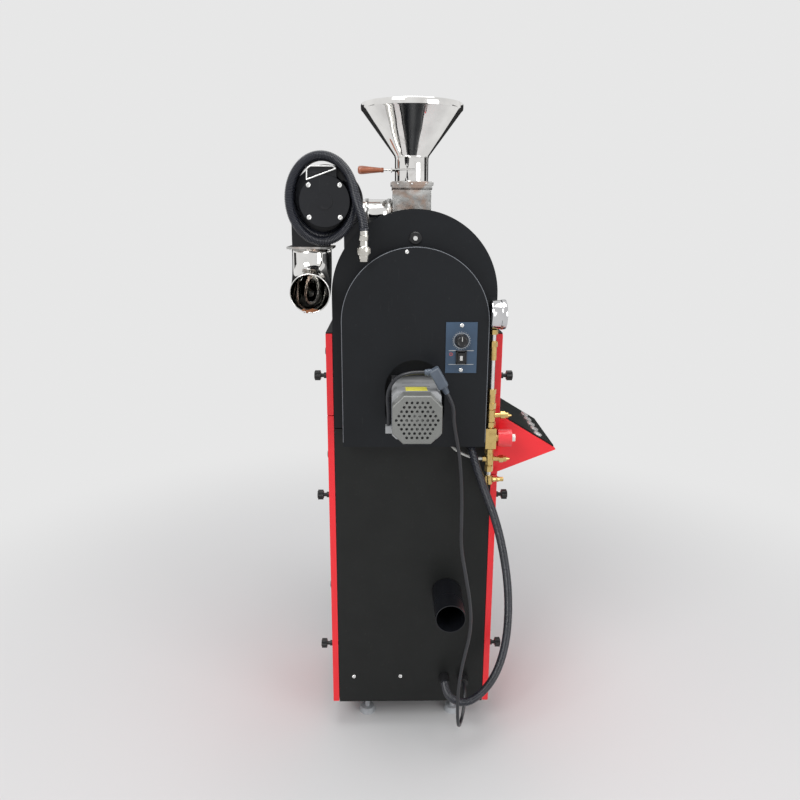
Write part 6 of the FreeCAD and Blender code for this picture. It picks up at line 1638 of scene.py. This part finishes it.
@dataclass
class Controls:
    """Face of the speed controller, the gauge and the sloping control panel."""

    x: float = 88.2
    face: float = -47.0
    knob: float = 904.3
    rocker: float = 872.3
    print_depth: float = 0.25
    line_heights: tuple[tuple[float, float], ...] = ((884.6, 885.4), (857.8, 858.4))
    gauge_start: Point = (143.0, -32.0, 952.0)
    dial_turn: float = 225.0
    dial_step: float = 54.0
    hand_turn: float = 212.0
    number_reach: float = 16.5
    number_size: float = 5.5

    def build(self) -> None:
        """Build the details that the operator reads."""
        self.scale()
        self.rocker_trim()
        self.knob_parts()
        self.gauge()
        self.panel()

    def on_face(self, low_x: float, low_z: float, high_x: float, high_z: float, proud: float,
                rounding: float = 0.0) -> bmesh.types.BMesh:
        """Flat block on the controller's face.

        Args:
            low_x: its left side, from the controller's middle.
            low_z: its foot, above the floor.
            high_x: its right side, from the controller's middle.
            high_z: its top, above the floor.
            proud: how far it stands out.
            rounding: radius of its edges.

        Returns:
            The shape, in place.
        """
        return block(at(self.x + low_x, self.face - proud, low_z),
                     at(self.x + high_x, self.face, high_z), rounding)

    def scale(self) -> None:
        """Pale scale round the knob and two thin lines below it."""
        middle = at(self.x, self.face, self.knob)
        scale = lathe([(14.5, 0), (15.2, 0), (15.2, self.print_depth), (14.5, self.print_depth)],
                      Axis.REAR, middle, 64)
        piece("scale_ring", scale, Look.print_white)
        tick = block(metres(-0.9, -0.25, 0), metres(1.1, 0.25, self.print_depth))
        ring("scale_ticks", tick, 24, 17.0, facing(Axis.REAR, middle), Look.print_white)
        lines = joined(*(self.on_face(-24, low, 24, high, self.print_depth)
                         for low, high in self.line_heights))
        piece("face_lines", lines, Look.print_white)

    def rocker_trim(self) -> None:
        """Round mark beside the rocker, the frame round it and the stroke on it."""
        circle = lathe([(2.4, 0), (3.4, 0), (3.4, self.print_depth), (2.4, self.print_depth)],
                       Axis.REAR, at(self.x - 19.5, self.face, 878), 32)
        bar = self.on_face(-19.9, 874.8, -19.1, 881.2, self.print_depth)
        piece("power_mark", joined(circle, bar), Look.print_red)
        wide, narrow, tall, short = 10.4, 7.4, 13, 10.2
        frame = joined(*(self.on_face(low_x, self.rocker + low_z, high_x, self.rocker + high_z,
                                      2.6, 0.4)
                         for low_x, high_x, low_z, high_z in (
                             (-wide, -narrow, -tall, tall), (narrow, wide, -tall, tall),
                             (-wide, wide, -tall, -short), (-wide, wide, short, tall))))
        piece("rocker_frame", frame, Look.black_plastic)
        stroke = block(at(self.x - 2.6, self.face - 5.2, 866.5),
                       at(self.x + 2.6, self.face - 3.5, 875.5), 0.3)
        piece("rocker_mark", stroke, Look.print_white, body="speed_switch")

    def knob_parts(self) -> None:
        """Skirted knob with its ribs and its pointer."""
        seat = at(self.x, self.face - 0.4, self.knob)
        grip = lathe([(0, 0), (13, 0), (13, 1.2), (11.4, 2.6), (10.2, 14.0), (9.4, 14.8),
                      (8.6, 15.0), (7.6, 14.4), (0, 14.2)], Axis.REAR, seat, 64)
        knob = piece("knob_skirt", grip, Look.black_plastic, body="speed_knob")
        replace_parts(knob, "speed_knob")
        rib = block(metres(-0.2, -0.5, 3), metres(0.6, 0.5, 13.5), 0.2)
        ring("knob_ribs", rib, 20, 10.4, facing(Axis.REAR, seat), Look.black_plastic,
             body="speed_knob")
        pointer = block(at(self.x - 0.6, self.face - 15.6, self.knob + 1),
                        at(self.x + 0.6, self.face - 14.4, self.knob + 9.2), 0.2)
        piece("knob_pointer", pointer, Look.print_white, body="speed_knob")

    def gauge(self) -> None:
        """Chromed gauge: case with a stepped ring, white dial, ticks, hand and numbers."""
        start = at(*self.gauge_start)
        turned = lathe([
            (0, 0), (24, 0), (27.6, 1.4), (28.2, 3.5), (27.4, 5), (27.4, 19.5), (28.2, 20.5),
            (28.5, 22.5), (28.5, 28), (27.7, 29.6), (26.4, 30), (25.6, 29.4), (25.2, 26.5),
            (0, 26.5)], Axis.RIGHT, start, 96)
        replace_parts(piece("gauge_case", turned, Look.gauge_chrome), "gas_gauge")
        dial = lathe([(0, 26.6), (25.1, 26.6), (25.1, 27.0), (0, 27.0)], Axis.RIGHT, start, 96)
        piece("gauge_dial", dial, Look.dial_white)
        placed = facing(Axis.RIGHT, start) @ Matrix.Translation(metres(0, 0, 27.02))
        tick = block(metres(-1.2, -0.18, 0), metres(1.2, 0.18, 0.1))
        ring("gauge_ticks", tick, 40, 22.0, placed, Look.dark_inside)
        hand = block(metres(-4, -0.4, 0.3), metres(17.5, 0.4, 0.6), 0.1)
        hand.transform(Matrix.Rotation(math.radians(self.hand_turn), 4, "Z"))
        hub = lathe([(0, 0.2), (2.2, 0.2), (2.2, 1.0), (0, 1.2)], Axis.UP, Vector(), 24)
        whole = joined(hand, hub)
        whole.transform(placed)
        piece("gauge_hand", whole, Look.dark_inside)
        for number in range(6):
            angle = math.radians(self.dial_turn - number * self.dial_step)
            spot = metres(math.cos(angle), math.sin(angle), 0) * self.number_reach
            self.number(str(number), placed @ Matrix.Translation(spot))

    def number(self, text: str, placed: Matrix) -> None:
        """Plain number on the dial, as a mesh.

        Args:
            text: the number.
            placed: sets it in place; X of the dial is up.
        """
        words = bpy.data.curves.new("number", "FONT")
        words.body = text
        words.size = self.number_size / PER_METRE
        words.align_x = "CENTER"
        words.align_y = "CENTER"
        words.extrude = 0.00006
        holder = linked("number", words)
        bpy.context.view_layer.update()
        data = bpy.data.meshes.new_from_object(holder)
        bpy.data.objects.remove(holder)
        data.transform(placed @ Matrix.Rotation(math.radians(90), 4, "Z"))
        data.materials.clear()
        dress("dial_number_" + text, data, Look.dark_inside)

    def panel(self) -> None:
        """Two dark display windows in a thin raised frame on the sloping panel."""
        side, tip, top, low = 162.0, 298.0, 741.0, 666.0
        run, drop = tip - side, top - low
        slope = math.hypot(run, drop)
        down = Vector((run, 0, -drop)) / slope
        out = Vector((drop, 0, run)) / slope
        turn = Matrix((down, Vector((0, 1, 0)), out)).transposed().to_4x4()
        across, along, border, proud = 18.0, 26.5, 15.2, 1.6
        for number, start in enumerate((22.0, 84.0)):
            centre = Vector((side, start + 24, top)) + down * (slope * 0.33) + out * 3.0
            placed = Matrix.Translation(at(*centre)) @ turn
            window = block(metres(-15, -23, 0), metres(15, 23, 1.1), 0.5)
            window.transform(placed)
            piece(f"display_{number}", window, Look.window_dark)
            frame = joined(*(
                block(metres(low_x, low_y, 0), metres(high_x, high_y, proud), 0.4)
                for low_x, low_y, high_x, high_y in (
                    (-across, -along, -border, along), (border, -along, across, along),
                    (-across, -along, across, -23.2), (-across, 23.2, across, along))))
            frame.transform(placed)
            piece(f"display_frame_{number}", frame, Look.black_plastic)


@dataclass
class Blower:
    """Details of the exhaust blower: the terminal box's lid and bail, and the motor."""

    axis_x: float = -166.0
    axis_height: float = 1159.0
    rear: float = -62.0
    motor_radius: float = 42.5
    ribs: int = 30

    def build(self) -> None:
        """Build the blower's details."""
        lid = block(at(-199, -61, 1216.9), at(-142, -17, 1218.6), 0.7)
        seam = block(at(-197.6, -60.4, 1208), at(-143.6, -17.6, 1209), 0.2)
        piece("terminal_lid", joined(lid, seam), Look.blower_black)
        wire = [at(-197, -63, 1196), at(-196, -63.6, 1214), at(-190, -63.8, 1219),
                at(-150, -63.8, 1219), at(-144, -63.6, 1215), at(-197, -63, 1196)]
        bail = tube(even_steps(wire, 0.002), lambda index: 0.0014, 12)
        piece("lid_bail", bail, Look.screw_steel)
        rib = block(metres(-1.2, -0.9, 0), metres(2.4, 0.9, 40), 0.3)
        placed = facing(Axis.FRONT, at(self.axis_x, self.rear + 8, self.axis_height))
        ring("motor_ribs", rib, self.ribs, self.motor_radius, placed, Look.blower_black)
        rim = lathe([(43.2, 0), (45, 0), (45.6, 0.8), (45.6, 4.4), (45, 5.2), (43.2, 5.2)],
                    Axis.FRONT, at(self.axis_x, self.rear - 0.2, self.axis_height), 96)
        boss = lathe([(0, 0), (13, 0), (14, 0.8), (14, 1.4), (0, 1.4)], Axis.REAR,
                     at(self.axis_x, self.rear, self.axis_height), 48)
        piece("end_plate_rim", joined(rim, boss), Look.blower_black)


@dataclass
class Grip:
    """Turned wooden grip of the hopper's gate, hollow where the rod enters."""

    start: Point = (-61.0, 250.2, 1230.0)

    def build(self) -> None:
        """Build the grip, which slides with the gate."""
        turned = lathe([
            (1.7, 0), (4.6, 0), (5.3, 2), (5.3, 5), (4.9, 7), (5.4, 12), (6.6, 25), (8.0, 38),
            (8.9, 47), (9.0, 50), (8.4, 53.6), (6.8, 55.8), (4.0, 56.8), (0, 57), (0, 12),
            (1.7, 12)], Axis.LEFT, at(*self.start), 64)
        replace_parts(piece("grip_turned", turned, Look.grip_wood, body="gate"), "gate_handle")


def dressed(nodes: dict[str, bpy.types.Object], record: dict) -> None:
    """Give every CAD node the finish of its material slot in the record.

    Args:
        nodes: the frame's objects by name.
        record: the part's record.
    """
    for entry in record["subparts"]:
        node = nodes[entry["node"]]
        material = Look[entry["material_slot"]].material
        if not node.material_slots:
            node.data.materials.append(material)
        for slot in node.material_slots:
            slot.material = material


def main() -> None:
    """Build the whole scene."""
    logging.basicConfig(level=logging.INFO, format="%(message)s")
    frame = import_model()
    dressed(frame["nodes"], frame["record"])
    Studio().build()
    Cords().build()
    Funnel().build()
    Drive().build()
    Controls().build()
    Blower().build()
    Grip().build()


if __name__ == "__main__":
    main()
